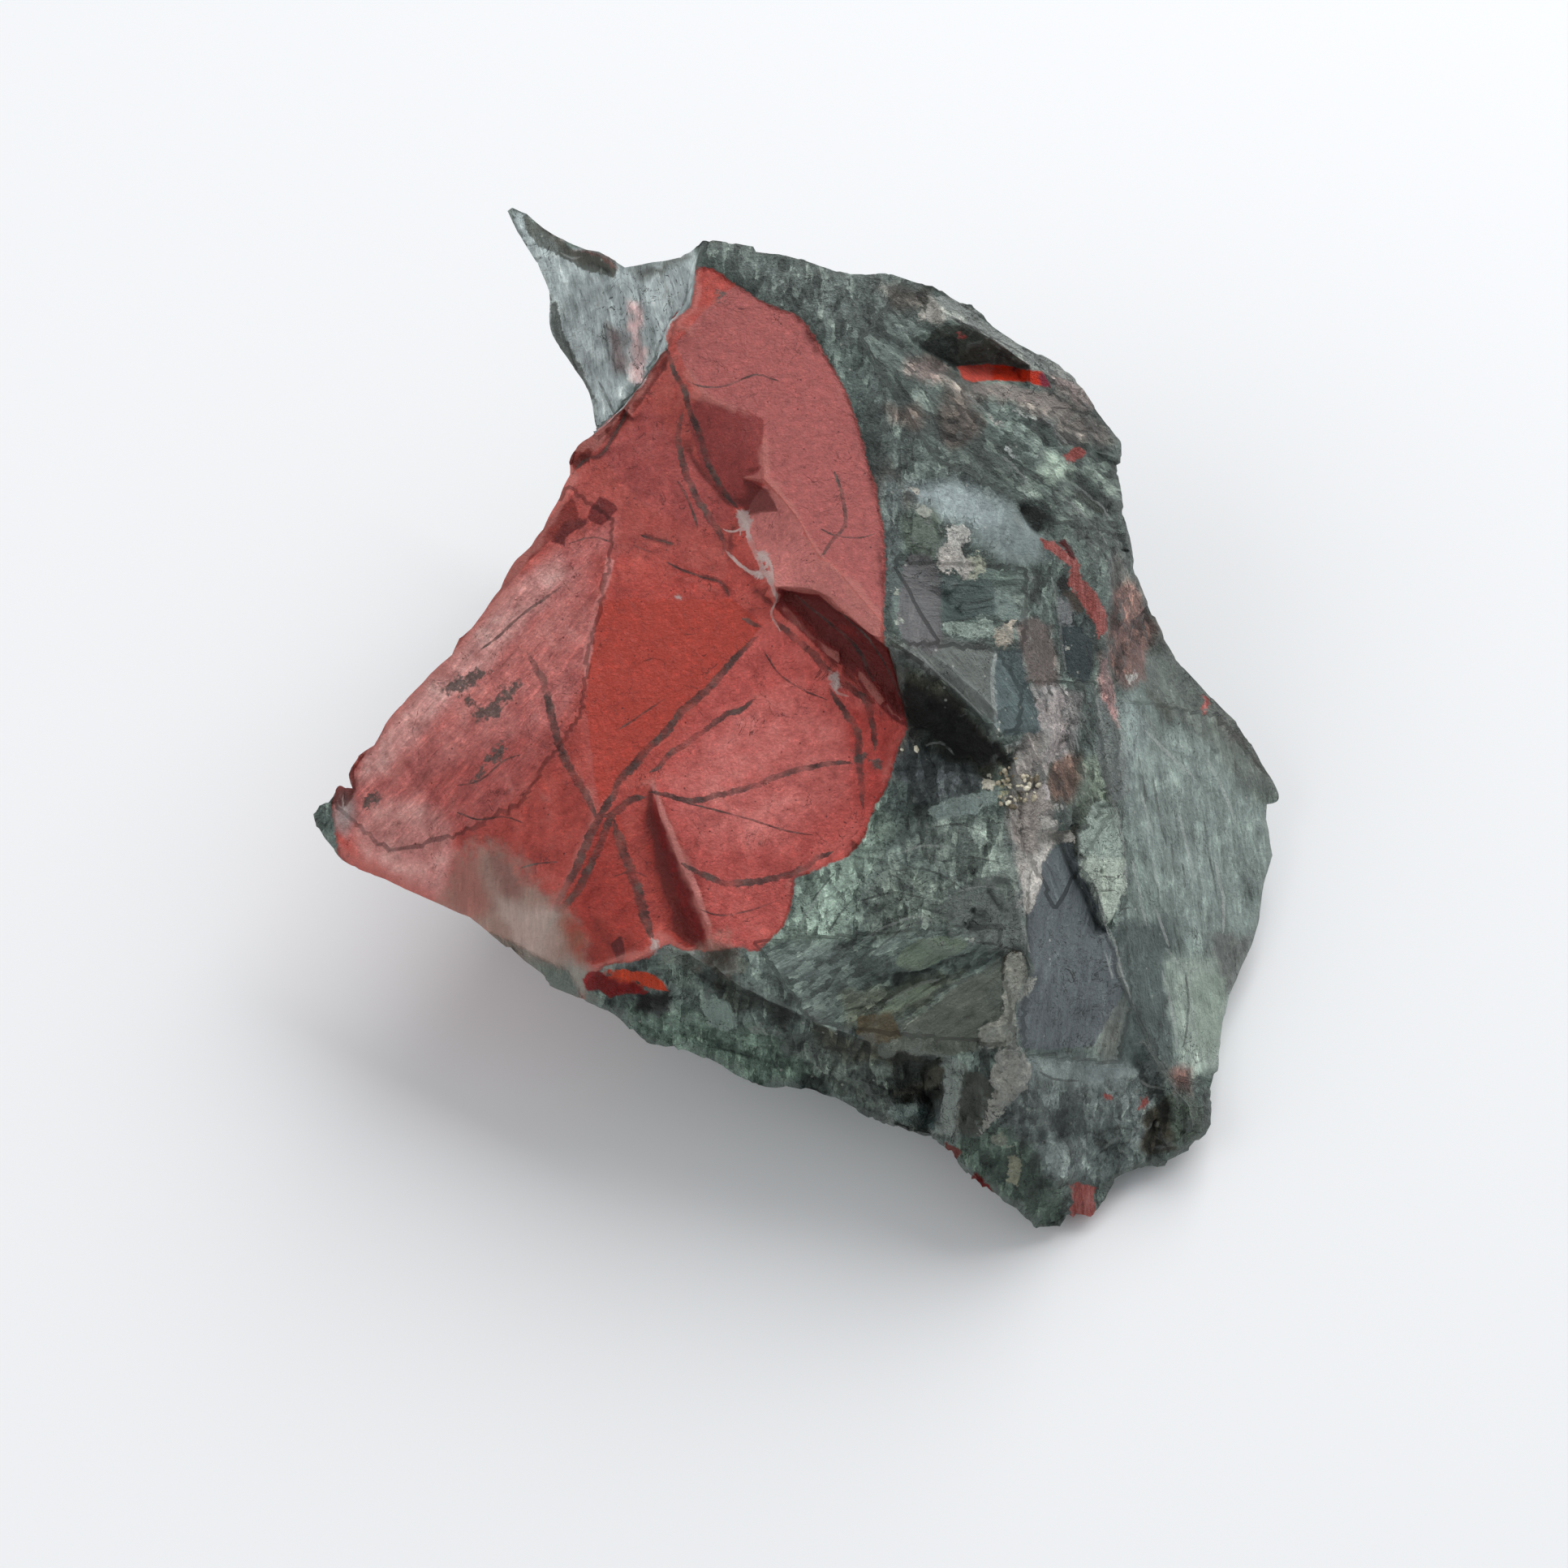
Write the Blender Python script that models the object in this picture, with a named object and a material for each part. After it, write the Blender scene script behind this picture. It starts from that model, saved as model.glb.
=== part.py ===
"""Bloodstone: one broken, hand-sized lump of green and red jasper, with a horn at its back.

The lump is one closed body in metres, +Z up. Its origin is at the middle of its footprint, on the
ground. Two sheets of rock make the body: the front sheet is what the photograph shows, and the hidden
sheet is the back, the left underside and the flat base. They meet along the outline of the lump.
Both are stretched between ridges, ledges and steps that are given as short lines of landmarks.
"""

import math

import bmesh
import bpy
import numpy as np
from mathutils import Vector, noise
from mathutils.bvhtree import BVHTree
from mathutils.geometry import delaunay_2d_cdt

MM = 0.001

# Driving sizes, in millimetres and degrees.
STONE_WIDTH = 90.0
FRONT_POINT_SPACING = 1.6
HIDDEN_POINT_SPACING = 2.7
ROUGH_GREEN_RELIEF = 0.42
SMOOTH_RED_RELIEF = 0.09
HIDDEN_RELIEF = 1.3
FRONT_CELL = 4.2
HIDDEN_CELL = 7.5
TIP_THICKNESS = 0.8
LEAST_THICKNESS = 3.0
THICKENING_FROM_RIM = 0.75
GAP_MARGIN = 7.0
LONGEST_LINE = 4.2
SEEN_RELIEF_STARTS = 2.0
HIDDEN_RELIEF_STARTS = 7.0
LEAST_LIFT = 0.25

# How the sheets are laid: shares of the point spacing, and how often the values are evened out.
SHARED_WITHIN = 0.3
FIELD_CLEARANCE = 0.62
FIELD_SHAKE = 0.16
LEAST_PULL = 0.02
SETTLING_ROUNDS = 1600
ROUNDING_ROUNDS = 7

# How the photograph looks at the lump: from the front, along +Y, and down onto it.
PICTURE_SIDE = 1932
EYE_FIELD = math.radians(30.0)
EYE_ELEVATION = math.radians(55.0)
AIM_HEIGHT = 22.0
LEFT_TIP_ACROSS = 386
RIGHT_SPIKE_ACROSS = 1577

CENTRE = PICTURE_SIDE / 2
FOCAL = CENTRE / math.tan(EYE_FIELD / 2)
MM_PER_POINT = STONE_WIDTH / (RIGHT_SPIKE_ACROSS - LEFT_TIP_ACROSS)
FORWARD = np.array([0.0, math.cos(EYE_ELEVATION), -math.sin(EYE_ELEVATION)])
RIGHTWARD = np.array([1.0, 0.0, 0.0])
UPWARD = np.array([0.0, math.sin(EYE_ELEVATION), math.cos(EYE_ELEVATION)])
EYE = np.array([0.0, 0.0, AIM_HEIGHT]) - FORWARD * MM_PER_POINT * FOCAL

# A landmark of the front sheet is (across, down, height): its place in the photograph, in points of
# the 1932 by 1932 frame, and its height above the ground in millimetres.
CROWN = (866, 296, 48.0)
WALL_SWING = math.radians(40.0)

OUTLINE_OF_BODY = [
    CROWN,
    (898, 300, 47.6), (932, 306, 47.3), (969, 314, 47.0), (998, 324, 46.6), (1020, 333, 46.3),
    (1040, 339, 46.0), (1070, 339, 45.6), (1095, 338, 45.2), (1106, 340, 44.8), (1132, 349, 44.0),
    (1149, 351, 43.6), (1161, 358, 43.0), (1175, 369, 42.2), (1197, 377, 41.4), (1216, 394, 40.4),
    (1249, 419, 39.0), (1280, 435, 37.8), (1305, 450, 36.6), (1331, 481, 35.2), (1348, 504, 34.2),
    (1369, 530, 32.6), (1380, 545, 31.6), (1380, 570, 30.6), (1375, 573, 30.6), (1378, 601, 29.6),
    (1384, 639, 28.2), (1392, 662, 27.0), (1395, 700, 25.4), (1423, 760, 21.6), (1451, 812, 18.0),
    (1486, 851, 14.6), (1524, 889, 11.4), (1560, 945, 7.6), (1577, 980, 5.6), (1575, 989, 5.2),
    (1561, 991, 5.6), (1560, 1009, 5.4), (1568, 1054, 4.2), (1556, 1089, 4.0), (1552, 1128, 3.6),
    (1544, 1163, 3.2), (1531, 1188, 3.2), (1514, 1226, 3.0), (1510, 1245, 3.2), (1502, 1293, 3.2),
    (1497, 1328, 3.4), (1493, 1351, 4.0), (1492, 1380, 4.6), (1485, 1397, 4.4), (1464, 1417, 3.0),
    (1439, 1431, 1.8), (1401, 1437, 2.4), (1375, 1454, 2.6), (1355, 1486, 2.0), (1344, 1499, 1.6),
    (1315, 1500, 2.0), (1307, 1512, 1.6), (1278, 1513, 2.2), (1252, 1489, 5.0), (1226, 1470, 7.0),
    (1198, 1448, 8.6), (1183, 1433, 9.2), (1169, 1417, 9.8), (1145, 1402, 10.2), (1100, 1391, 10.0),
    (1074, 1380, 10.2), (1023, 1353, 11.6), (969, 1337, 12.2), (934, 1341, 11.8), (886, 1310, 13.0),
    (841, 1291, 13.8), (820, 1290, 13.6), (794, 1281, 14.2), (760, 1252, 15.6), (715, 1229, 16.6),
    (683, 1213, 17.4), (657, 1197, 18.0), (616, 1162, 19.0), (578, 1131, 19.4), (565, 1126, 19.3),
    (517, 1102, 19.4), (476, 1083, 19.4), (439, 1067, 19.5), (421, 1057, 19.6), (412, 1044, 19.8),
    (400, 1033, 19.8), (390, 1018, 19.8), (386, 1003, 20.2), (392, 991, 20.8), (404, 987, 21.0),
    (412, 974, 21.6), (422, 967, 22.2), (431, 969, 22.6), (428, 953, 23.0), (441, 930, 24.0),
    (459, 917, 24.8), (470, 899, 25.6), (481, 881, 26.6), (501, 860, 27.6), (540, 820, 29.6),
    (556, 806, 30.2), (564, 785, 31.0), (580, 774, 31.6), (600, 750, 32.6), (618, 720, 33.8),
    (654, 670, 35.4), (684, 624, 36.8), (702, 585, 38.0), (701, 573, 38.2), (703, 561, 38.6),
    (720, 542, 39.2), (736, 530, 39.6),
]
OUTLINE_OF_WALL = [
    (734, 528, 25.0), (731, 505, 26.3), (725, 485, 27.3), (719, 471, 28.0), (708, 456, 28.9),
    (699, 439, 29.9), (688, 425, 30.8), (679, 409, 31.8), (677, 395, 32.5), (678, 373, 33.5),
    (677, 359, 34.1), (669, 340, 34.8), (662, 324, 35.3), (650, 306, 35.8), (637, 284, 36.4),
    (625, 260, 37.0), (631, 256, 37.2), (649, 263, 37.1), (664, 277, 36.9), (679, 288, 36.9),
    (699, 298, 37.0), (722, 307, 37.4), (738, 310, 37.8), (750, 317, 38.0), (770, 330, 38.2),
    (781, 328, 39.0), (800, 323, 40.6), (816, 322, 41.8), (839, 318, 43.8), (850, 312, 45.4),
    (859, 302, 47.0),
]

# Between the flank and the wall the rim drops steeply through the gap. These places open it up on the
# plan of the sheets: across, down, and the share of the way from the flank's end to the wall's.
DROP_OF_THE_RIM = [
    (694, 524, 0.28), (646, 490, 0.55), (606, 440, 0.8),
]

WALL_EDGES = {
    "foot of the wall, behind the red flank": [
        CROWN, (855, 322, 45.0), (850, 338, 43.7), (847, 358, 41.8), (846, 380, 39.8), (838, 400, 37.8),
        (834, 420, 35.8), (828, 440, 34.0), (812, 468, 31.4), (790, 498, 28.6), (762, 524, 26.2),
        (734, 528, 25.0),
    ],
    "bevel along the top of the horn": [
        (631, 256, 37.2), (642, 272, 36.3), (660, 287, 36.2), (690, 307, 36.4), (722, 320, 36.4),
        (750, 334, 36.4), (770, 330, 38.2),
    ],
}
WALL_SWELLS = {
    "hollow of the wall": [
        (692, 345, 34.2), (712, 385, 31.8), (728, 425, 29.4), (742, 465, 27.3), (750, 505, 25.8),
    ],
    "rib of the wall": [
        (770, 334, 37.9), (772, 360, 36.6), (774, 400, 34.0), (780, 445, 31.2), (784, 480, 29.2),
    ],
    "hollow beside the rib": [
        (806, 345, 38.6), (810, 380, 36.2), (812, 420, 33.6),
    ],
}

RED_EDGES = {
    "edge of the red flank": [
        CROWN, (862, 312, 47.1), (858, 329, 46.4), (854, 359, 46.0), (852, 377, 45.8), (839, 388, 45.2),
        (826, 400, 44.8), (820, 414, 44.4), (822, 430, 44.0), (813, 438, 43.6), (800, 455, 42.8),
        (791, 476, 42.1), (784, 480, 41.9), (769, 503, 41.0), (749, 520, 40.0), (736, 530, 39.6),
    ],
    "left edge of the top facet": [
        (858, 329, 46.4), (889, 361, 46.5), (862, 388, 45.9), (848, 407, 45.4), (822, 430, 44.0),
    ],
    "lower edge of the top facet": [
        (822, 430, 44.0), (841, 446, 44.2), (858, 478, 44.0), (864, 487, 43.9), (898, 503, 44.0),
        (921, 505, 44.1), (942, 518, 44.0), (941, 590, 43.2), (965, 615, 42.9), (985, 640, 42.6),
        (1000, 670, 42.3), (1012, 687, 42.1), (1040, 710, 41.8), (1060, 735, 41.5), (1081, 760, 41.1),
        (1093, 785, 40.2),
    ],
    "foot of the dark scar": [
        (864, 487, 43.9), (852, 525, 41.8), (850, 560, 40.4), (866, 585, 39.9), (884, 606, 39.6),
        (908, 627, 39.6), (925, 622, 40.0), (938, 605, 41.4), (941, 590, 43.2),
    ],
    "small facets of the kite": [
        (908, 627, 39.6), (903, 655, 39.0), (894, 680, 38.6), (903, 700, 38.5), (915, 716, 38.6),
        (940, 735, 38.7), (955, 735, 39.5),
    ],
    "cross ridge of the kite": [
        (908, 627, 39.6), (932, 660, 40.0), (948, 700, 40.3), (955, 723, 40.3),
    ],
    "rise from the kite": [
        (932, 660, 40.0), (965, 655, 41.3), (985, 640, 42.6),
    ],
    "lip of the dark wedge": [
        (955, 723, 40.3), (987, 722, 40.5), (1010, 728, 40.5), (1024, 737, 40.5), (1042, 755, 40.4),
        (1056, 767, 40.3), (1072, 781, 40.2), (1093, 785, 40.2),
    ],
    "foot of the dark wedge": [
        (955, 723, 40.3), (955, 746, 38.3), (971, 762, 37.7), (987, 778, 37.1), (1001, 794, 36.4),
        (1017, 808, 35.9), (1031, 820, 35.4), (1044, 824, 35.1), (1056, 838, 34.6), (1067, 854, 34.1),
        (1083, 871, 33.5), (1097, 883, 33.0), (1118, 896, 32.5),
    ],
    "upper left crack of the flank": [
        (703, 561, 38.6), (719, 567, 38.2), (740, 560, 38.8), (752, 545, 39.3), (771, 512, 40.4),
    ],
    "fold under the left plateau": [
        (684, 624, 36.8), (709, 651, 36.9), (759, 679, 37.3), (804, 683, 37.5), (842, 702, 37.7),
        (888, 717, 38.0), (903, 738, 37.7), (940, 770, 37.3), (955, 746, 38.3),
    ],
    "ridge between flank and middle face": [
        (759, 679, 37.3), (750, 700, 36.8), (744, 730, 36.0), (728, 759, 35.0), (726, 787, 34.2),
        (725, 821, 33.2), (718, 870, 31.9), (716, 930, 30.4), (733, 1006, 28.8),
    ],
    "seam from the middle down to the vein cross": [
        (940, 770, 37.3), (927, 788, 36.7), (884, 836, 34.9), (840, 875, 33.1), (797, 923, 31.2),
        (764, 960, 29.9), (733, 1006, 28.8),
    ],
    "crisp left edge of the pad": [
        (797, 923, 31.2), (804, 962, 30.4), (817, 1010, 29.2), (842, 1065, 27.6), (856, 1100, 26.6),
        (872, 1140, 25.4), (878, 1176, 24.4),
    ],
    "groove beside the pad": [
        (804, 962, 30.4), (800, 1000, 28.7), (808, 1035, 27.5), (818, 1072, 26.2), (830, 1112, 24.8),
        (844, 1152, 23.6), (878, 1176, 24.4),
    ],
    "front edge of the lower red face": [
        (733, 1006, 28.8), (700, 1085, 25.2), (672, 1140, 22.1), (660, 1172, 20.0),
    ],
}

RED_SWELLS = {
    "back of the long flank": [
        (718, 870, 31.9), (650, 898, 30.7), (575, 930, 28.2), (500, 965, 24.8), (440, 990, 22.4),
        (404, 1003, 20.7),
    ],
    "belly of the long flank": [
        (716, 930, 30.4), (640, 1000, 27.0), (560, 1032, 23.9), (490, 1043, 21.8),
    ],
    "crown of the pad": [
        (960, 800, 36.4), (985, 880, 34.0), (975, 960, 31.5), (950, 1040, 29.1), (920, 1110, 26.7),
    ],
    "swelling of the lower red face": [
        (768, 1050, 26.8), (785, 1110, 24.9),
    ],
}

GREEN_EDGES = {
    "lip over the dark hollow": [
        (1093, 785, 40.2), (1123, 805, 39.0), (1155, 828, 37.7), (1184, 854, 36.2), (1212, 877, 35.0),
        (1230, 900, 33.7), (1250, 922, 32.2), (1246, 955, 30.6),
    ],
    "foot of the dark hollow": [
        (1118, 896, 32.5), (1146, 920, 31.3), (1178, 934, 30.4), (1207, 957, 29.8), (1246, 968, 29.5),
    ],
    "far lip of the notch": [
        (1132, 349, 44.0), (1149, 366, 43.3), (1172, 383, 42.3), (1199, 403, 41.0), (1222, 417, 40.1),
        (1257, 442, 38.6), (1282, 458, 37.5), (1331, 481, 35.2),
    ],
    "bottom of the notch": [
        (1122, 418, 42.0), (1142, 430, 39.9), (1160, 442, 38.2), (1182, 452, 37.0), (1218, 451, 36.4),
        (1252, 453, 36.1), (1282, 458, 37.5),
    ],
    "near side of the notch": [
        (1122, 418, 42.0), (1138, 452, 40.9), (1178, 468, 39.4), (1218, 478, 38.5), (1252, 478, 37.9),
        (1286, 474, 37.0),
    ],
    "plate above the shoulder": [
        (1300, 520, 36.6), (1330, 530, 34.9), (1348, 556, 33.2), (1340, 600, 32.6), (1352, 640, 30.8),
    ],
    "edge of the lilac stripe": [
        (1164, 700, 38.9), (1160, 750, 38.4), (1168, 776, 38.0), (1201, 791, 37.2), (1244, 797, 36.3),
        (1255, 768, 36.3), (1262, 724, 35.9),
    ],
    "second lip below the stripe": [
        (1128, 782, 39.5), (1172, 826, 37.8), (1204, 852, 36.6), (1228, 876, 35.3),
    ],
    "left edge of the lobed facet": [
        (1227, 800, 36.9), (1226, 845, 35.6), (1232, 890, 34.2), (1250, 922, 32.2),
    ],
    "right edge of the lobed facet": [
        (1255, 768, 36.3), (1270, 825, 34.3), (1280, 870, 32.7), (1287, 905, 31.3), (1284, 945, 30.0),
    ],
    "red ridge of the right side": [
        (1262, 690, 35.4), (1300, 660, 35.2), (1324, 688, 33.8), (1344, 722, 32.1), (1362, 751, 30.5),
        (1361, 790, 29.5), (1362, 835, 28.1), (1371, 870, 26.7), (1386, 930, 24.6), (1396, 978, 22.9),
    ],
    "flaky crest": [
        (1300, 745, 33.2), (1306, 800, 31.4), (1300, 850, 30.4), (1308, 900, 29.2), (1300, 934, 28.6),
    ],
    "edge of the brown window": [
        (1284, 945, 30.0), (1300, 934, 28.6), (1338, 928, 27.4), (1366, 976, 24.8),
    ],
    "step at the right of the tongue": [
        (1366, 976, 24.8), (1380, 1011, 22.8), (1384, 1051, 21.4), (1387, 1103, 19.6), (1369, 1140, 19.3),
    ],
    "left edge of the tongue": [
        (1322, 1006, 26.0), (1328, 1034, 24.9), (1328, 1064, 23.7), (1346, 1085, 22.3), (1354, 1120, 20.9),
        (1371, 1163, 18.6), (1380, 1200, 16.9), (1393, 1235, 14.9), (1410, 1285, 11.3), (1436, 1330, 7.9),
    ],
    "ground below the tongue's left edge": [
        (1300, 1030, 24.9), (1316, 1066, 23.0), (1336, 1100, 20.9), (1352, 1140, 19.0),
    ],
    "central crest": [
        (1246, 968, 29.5), (1250, 1011, 29.0), (1252, 1074, 27.9), (1262, 1120, 26.7), (1262, 1166, 25.4),
        (1272, 1197, 24.2), (1254, 1232, 23.1), (1252, 1282, 21.3), (1263, 1311, 19.7), (1260, 1340, 18.1),
        (1224, 1377, 14.8), (1214, 1403, 12.6),
    ],
    "right side of the crest": [
        (1284, 945, 30.0), (1290, 990, 28.4), (1280, 1040, 27.3), (1282, 1080, 25.9), (1270, 1118, 25.3),
        (1276, 1160, 23.8), (1272, 1197, 24.2),
    ],
    "rim under the smooth scar": [
        (1263, 1300, 19.9), (1300, 1296, 16.2), (1350, 1290, 14.1), (1385, 1262, 13.8), (1393, 1235, 14.9),
    ],
    "ridge down to the foot": [
        (1260, 1340, 18.1), (1290, 1380, 13.2), (1300, 1440, 8.2), (1293, 1480, 4.8), (1290, 1508, 2.2),
    ],
    "knob at the right": [
        (1436, 1330, 7.9), (1452, 1348, 7.6), (1466, 1362, 7.6), (1470, 1392, 6.2), (1450, 1412, 4.4),
    ],
    "groove left of the knob": [
        (1400, 1310, 9.2), (1432, 1366, 6.0), (1420, 1400, 4.4), (1408, 1428, 3.0),
    ],
    "bend of the right face": [
        (1399, 776, 23.8), (1436, 862, 18.9), (1484, 922, 14.0), (1530, 968, 9.2), (1561, 991, 5.6),
    ],
    "bevel of the bottom right": [
        (1384, 639, 28.2), (1364, 690, 30.6), (1362, 751, 30.5),
    ],
    "valley at the border of the rough face": [
        (1118, 896, 32.5), (1104, 940, 31.2), (1085, 990, 29.6), (1056, 1048, 27.6), (985, 1080, 27.3),
        (974, 1125, 25.7), (940, 1170, 24.3), (905, 1200, 22.8),
    ],
    "valley above the arc": [
        (1072, 1164, 23.3), (1102, 1132, 24.8), (1136, 1121, 25.5), (1174, 1130, 25.5), (1205, 1146, 25.3),
    ],
    "arc": [
        (1080, 1172, 23.9), (1108, 1143, 25.2), (1136, 1133, 25.9), (1170, 1142, 25.9), (1199, 1160, 25.5),
        (1240, 1172, 25.0),
    ],
    "shelf under the arc": [
        (1087, 1202, 22.6), (1136, 1198, 23.5), (1176, 1180, 24.5), (1222, 1172, 24.9),
    ],
    "groove under the shelf": [
        (1084, 1214, 21.7), (1138, 1211, 22.4), (1180, 1196, 23.3), (1224, 1184, 24.0),
    ],
    "ledge over the front band": [
        (700, 1192, 19.4), (745, 1192, 21.5), (780, 1184, 23.0), (809, 1168, 24.0), (845, 1173, 23.8),
        (880, 1199, 22.9), (931, 1227, 21.7), (985, 1253, 20.7), (1026, 1272, 20.0), (1055, 1286, 19.5),
        (1096, 1296, 19.0), (1138, 1301, 18.5), (1160, 1305, 18.2), (1200, 1312, 18.6), (1263, 1311, 19.7),
    ],
    "foot of the ledge": [
        (735, 1216, 18.4), (778, 1222, 18.3), (812, 1204, 20.6), (848, 1196, 21.0), (880, 1216, 20.3),
        (928, 1244, 19.0), (985, 1272, 17.7), (1026, 1292, 16.6), (1060, 1305, 15.9), (1100, 1314, 14.9),
        (1140, 1322, 12.5),
    ],
    "brow of the band": [
        (790, 1244, 17.2), (850, 1246, 17.7), (900, 1268, 16.6), (950, 1284, 15.7), (1000, 1300, 14.8),
        (1030, 1326, 13.6), (1060, 1342, 12.9), (1100, 1358, 12.2), (1130, 1364, 11.3),
    ],
    "groove of the band": [
        (800, 1266, 14.9), (860, 1276, 14.4), (920, 1300, 13.4), (975, 1316, 12.9), (1012, 1334, 12.1),
    ],
    "back of the cave": [
        (1108, 1336, 12.3), (1140, 1344, 10.6), (1149, 1362, 9.6), (1140, 1384, 9.5),
    ],
    "left edge of the blade": [
        (1160, 1305, 18.2), (1163, 1325, 16.9), (1159, 1348, 15.4), (1153, 1376, 13.0), (1146, 1400, 10.4),
    ],
    "right edge of the blade": [
        (1160, 1305, 18.2), (1186, 1316, 18.0), (1178, 1350, 15.8), (1168, 1385, 12.8), (1169, 1417, 9.8),
    ],
    "rim of that scar": [
        (1200, 1312, 18.6), (1220, 1345, 17.2), (1222, 1372, 15.0), (1214, 1403, 12.6),
    ],
}

GREEN_SWELLS = {
    "soft back of the top": [
        (940, 345, 46.8), (1010, 372, 45.8), (1060, 420, 44.7), (1098, 500, 43.0), (1118, 570, 41.7),
    ],
    "right shoulder": [
        (1286, 474, 37.0), (1300, 520, 36.6), (1302, 570, 36.3), (1292, 612, 35.6), (1300, 660, 35.2),
    ],
    "dark pit by the shoulder": [
        (1262, 622, 35.8), (1274, 636, 34.7), (1288, 640, 34.9),
    ],
    "glossy dip": [
        (1132, 598, 41.0), (1180, 622, 38.9), (1222, 650, 37.1), (1262, 690, 35.4),
    ],
    "far side of the dip": [
        (1150, 560, 40.9), (1210, 585, 39.3), (1262, 612, 37.0),
    ],
    "near side of the dip": [
        (1112, 640, 41.0), (1150, 664, 39.7), (1164, 700, 38.9), (1218, 706, 37.5), (1262, 724, 35.9),
    ],
    "scoop of the smooth scar": [
        (1312, 1120, 22.2), (1322, 1180, 19.4), (1320, 1240, 17.2), (1300, 1284, 16.2),
    ],
    "pits of the right cheek": [
        (1318, 1372, 9.6), (1326, 1392, 8.6),
    ],
    "swell of the right face": [
        (1398, 900, 22.4), (1430, 980, 18.6), (1450, 1060, 15.4), (1458, 1150, 12.2), (1452, 1240, 9.9),
        (1462, 1310, 7.6),
    ],
    "edge low on the right face": [
        (1530, 1020, 7.9), (1522, 1100, 6.6), (1500, 1180, 6.4), (1486, 1250, 6.2),
    ],
    "swell of the rough face": [
        (1150, 960, 30.6), (1130, 1010, 29.3), (1090, 1060, 27.4), (1040, 1110, 25.9), (1000, 1170, 24.2),
        (980, 1220, 22.5),
    ],
    "upper spur": [
        (1207, 957, 29.8), (1180, 1000, 29.2), (1120, 1052, 27.3),
    ],
    "lower shelf": [
        (1070, 1252, 20.9), (1110, 1240, 21.5), (1150, 1222, 22.5), (1200, 1240, 22.2), (1240, 1238, 22.6),
    ],
    "hollow of the foot": [
        (1250, 1390, 13.0), (1262, 1430, 9.2), (1272, 1470, 5.6),
    ],
    "scar right of the blade": [
        (1198, 1330, 16.2), (1202, 1365, 13.2), (1190, 1400, 10.8),
    ],
    "front of the foot": [
        (1214, 1403, 12.6), (1232, 1430, 9.8), (1248, 1462, 7.0),
    ],
    "right cheek of the foot": [
        (1350, 1290, 14.1), (1355, 1345, 10.7), (1345, 1400, 7.7), (1352, 1440, 5.0), (1340, 1490, 2.2),
    ],
    "hollow left of the red ridge": [
        (1308, 712, 31.8), (1326, 748, 30.3), (1336, 800, 28.2), (1332, 838, 27.6),
    ],
    "back of the brown tinted face": [
        (1384, 716, 27.6), (1404, 770, 23.6), (1399, 776, 23.8), (1381, 838, 25.4), (1371, 870, 26.7),
    ],
    "foot of the stepped patch": [
        (1172, 740, 37.3), (1225, 744, 36.4),
    ],
    "pale crust": [
        (1172, 650, 39.3), (1186, 672, 38.9), (1208, 692, 38.2),
    ],
}

# A landmark of the hidden sheet is (x, y, z), in millimetres from the point under the photograph's
# centre. The base is flat: the lump stands on it.
BASE = [
    (36.0, -26.5), (31.0, -28.3), (26.5, -32.5), (19.0, -28.5), (13.0, -22.5), (3.0, -15.0), (-7.0, -6.5),
    (-13.0, 5.0), (-15.5, 20.0), (-17.0, 36.0), (-14.5, 50.0), (-5.0, 52.5), (8.0, 51.0), (21.0, 45.0),
    (32.0, 33.5), (39.0, 20.0), (41.8, 8.0), (40.8, -6.0), (39.0, -17.5),
]
HIDDEN_LINES = {
    "brow of the back": [
        (-3.0, 51.5, 30.0), (6.0, 53.0, 24.0), (18.0, 48.0, 22.0), (28.0, 38.0, 17.0), (35.5, 25.0, 9.0),
    ],
    "rib up the back": [
        (12.0, 44.0, 41.0), (14.0, 49.5, 31.0), (12.0, 52.0, 18.0), (10.0, 52.5, 6.0),
    ],
    "low edge of the back": [
        (-10.0, 55.0, 12.0), (2.0, 56.0, 10.0), (14.0, 52.5, 9.0), (26.0, 43.5, 7.0),
    ],
    "keel of the overhang": [
        (-20.0, 33.0, 22.0), (-23.5, 24.0, 18.0), (-27.5, 12.0, 15.0), (-32.0, 3.0, 14.0),
        (-29.5, -5.5, 12.0), (-21.5, -12.0, 10.5), (-11.5, -16.0, 9.0), (-1.0, -21.5, 7.5), (8.0, -25.0, 6.0),
    ],
    "waist under the overhang": [
        (-19.0, 30.0, 9.0), (-19.5, 18.0, 7.0), (-19.0, 5.0, 6.0), (-12.0, -6.0, 4.5), (-2.0, -14.0, 3.6),
    ],
}
# These lie right behind what the photograph shows at the same place, so they are given as across, down
# and height: the thickness of the horn and of the left tip.
BEHIND_THE_WALL = {
    "back of the horn": [
        (634, 266, 36.0), (645, 286, 34.2), (662, 320, 30.6), (684, 362, 27.0), (710, 410, 23.0),
        (738, 455, 18.5),
    ],
    "swelling behind the wall": [
        (700, 312, 34.4), (740, 345, 30.5), (780, 385, 26.5), (800, 430, 22.0),
    ],
    "back of the saddle": [
        (770, 345, 34.5), (815, 350, 33.5), (850, 345, 34.0),
    ],
    "behind the foot of the wall": [
        (760, 512, 20.0), (785, 495, 21.0), (808, 462, 23.5), (830, 425, 26.5),
    ],
}
BEHIND_THE_FLANK = {
    "underside of the left tip": [
        (402, 1003, 18.9), (440, 1002, 17.4), (485, 998, 16.0), (530, 990, 14.8),
    ],
}

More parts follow.
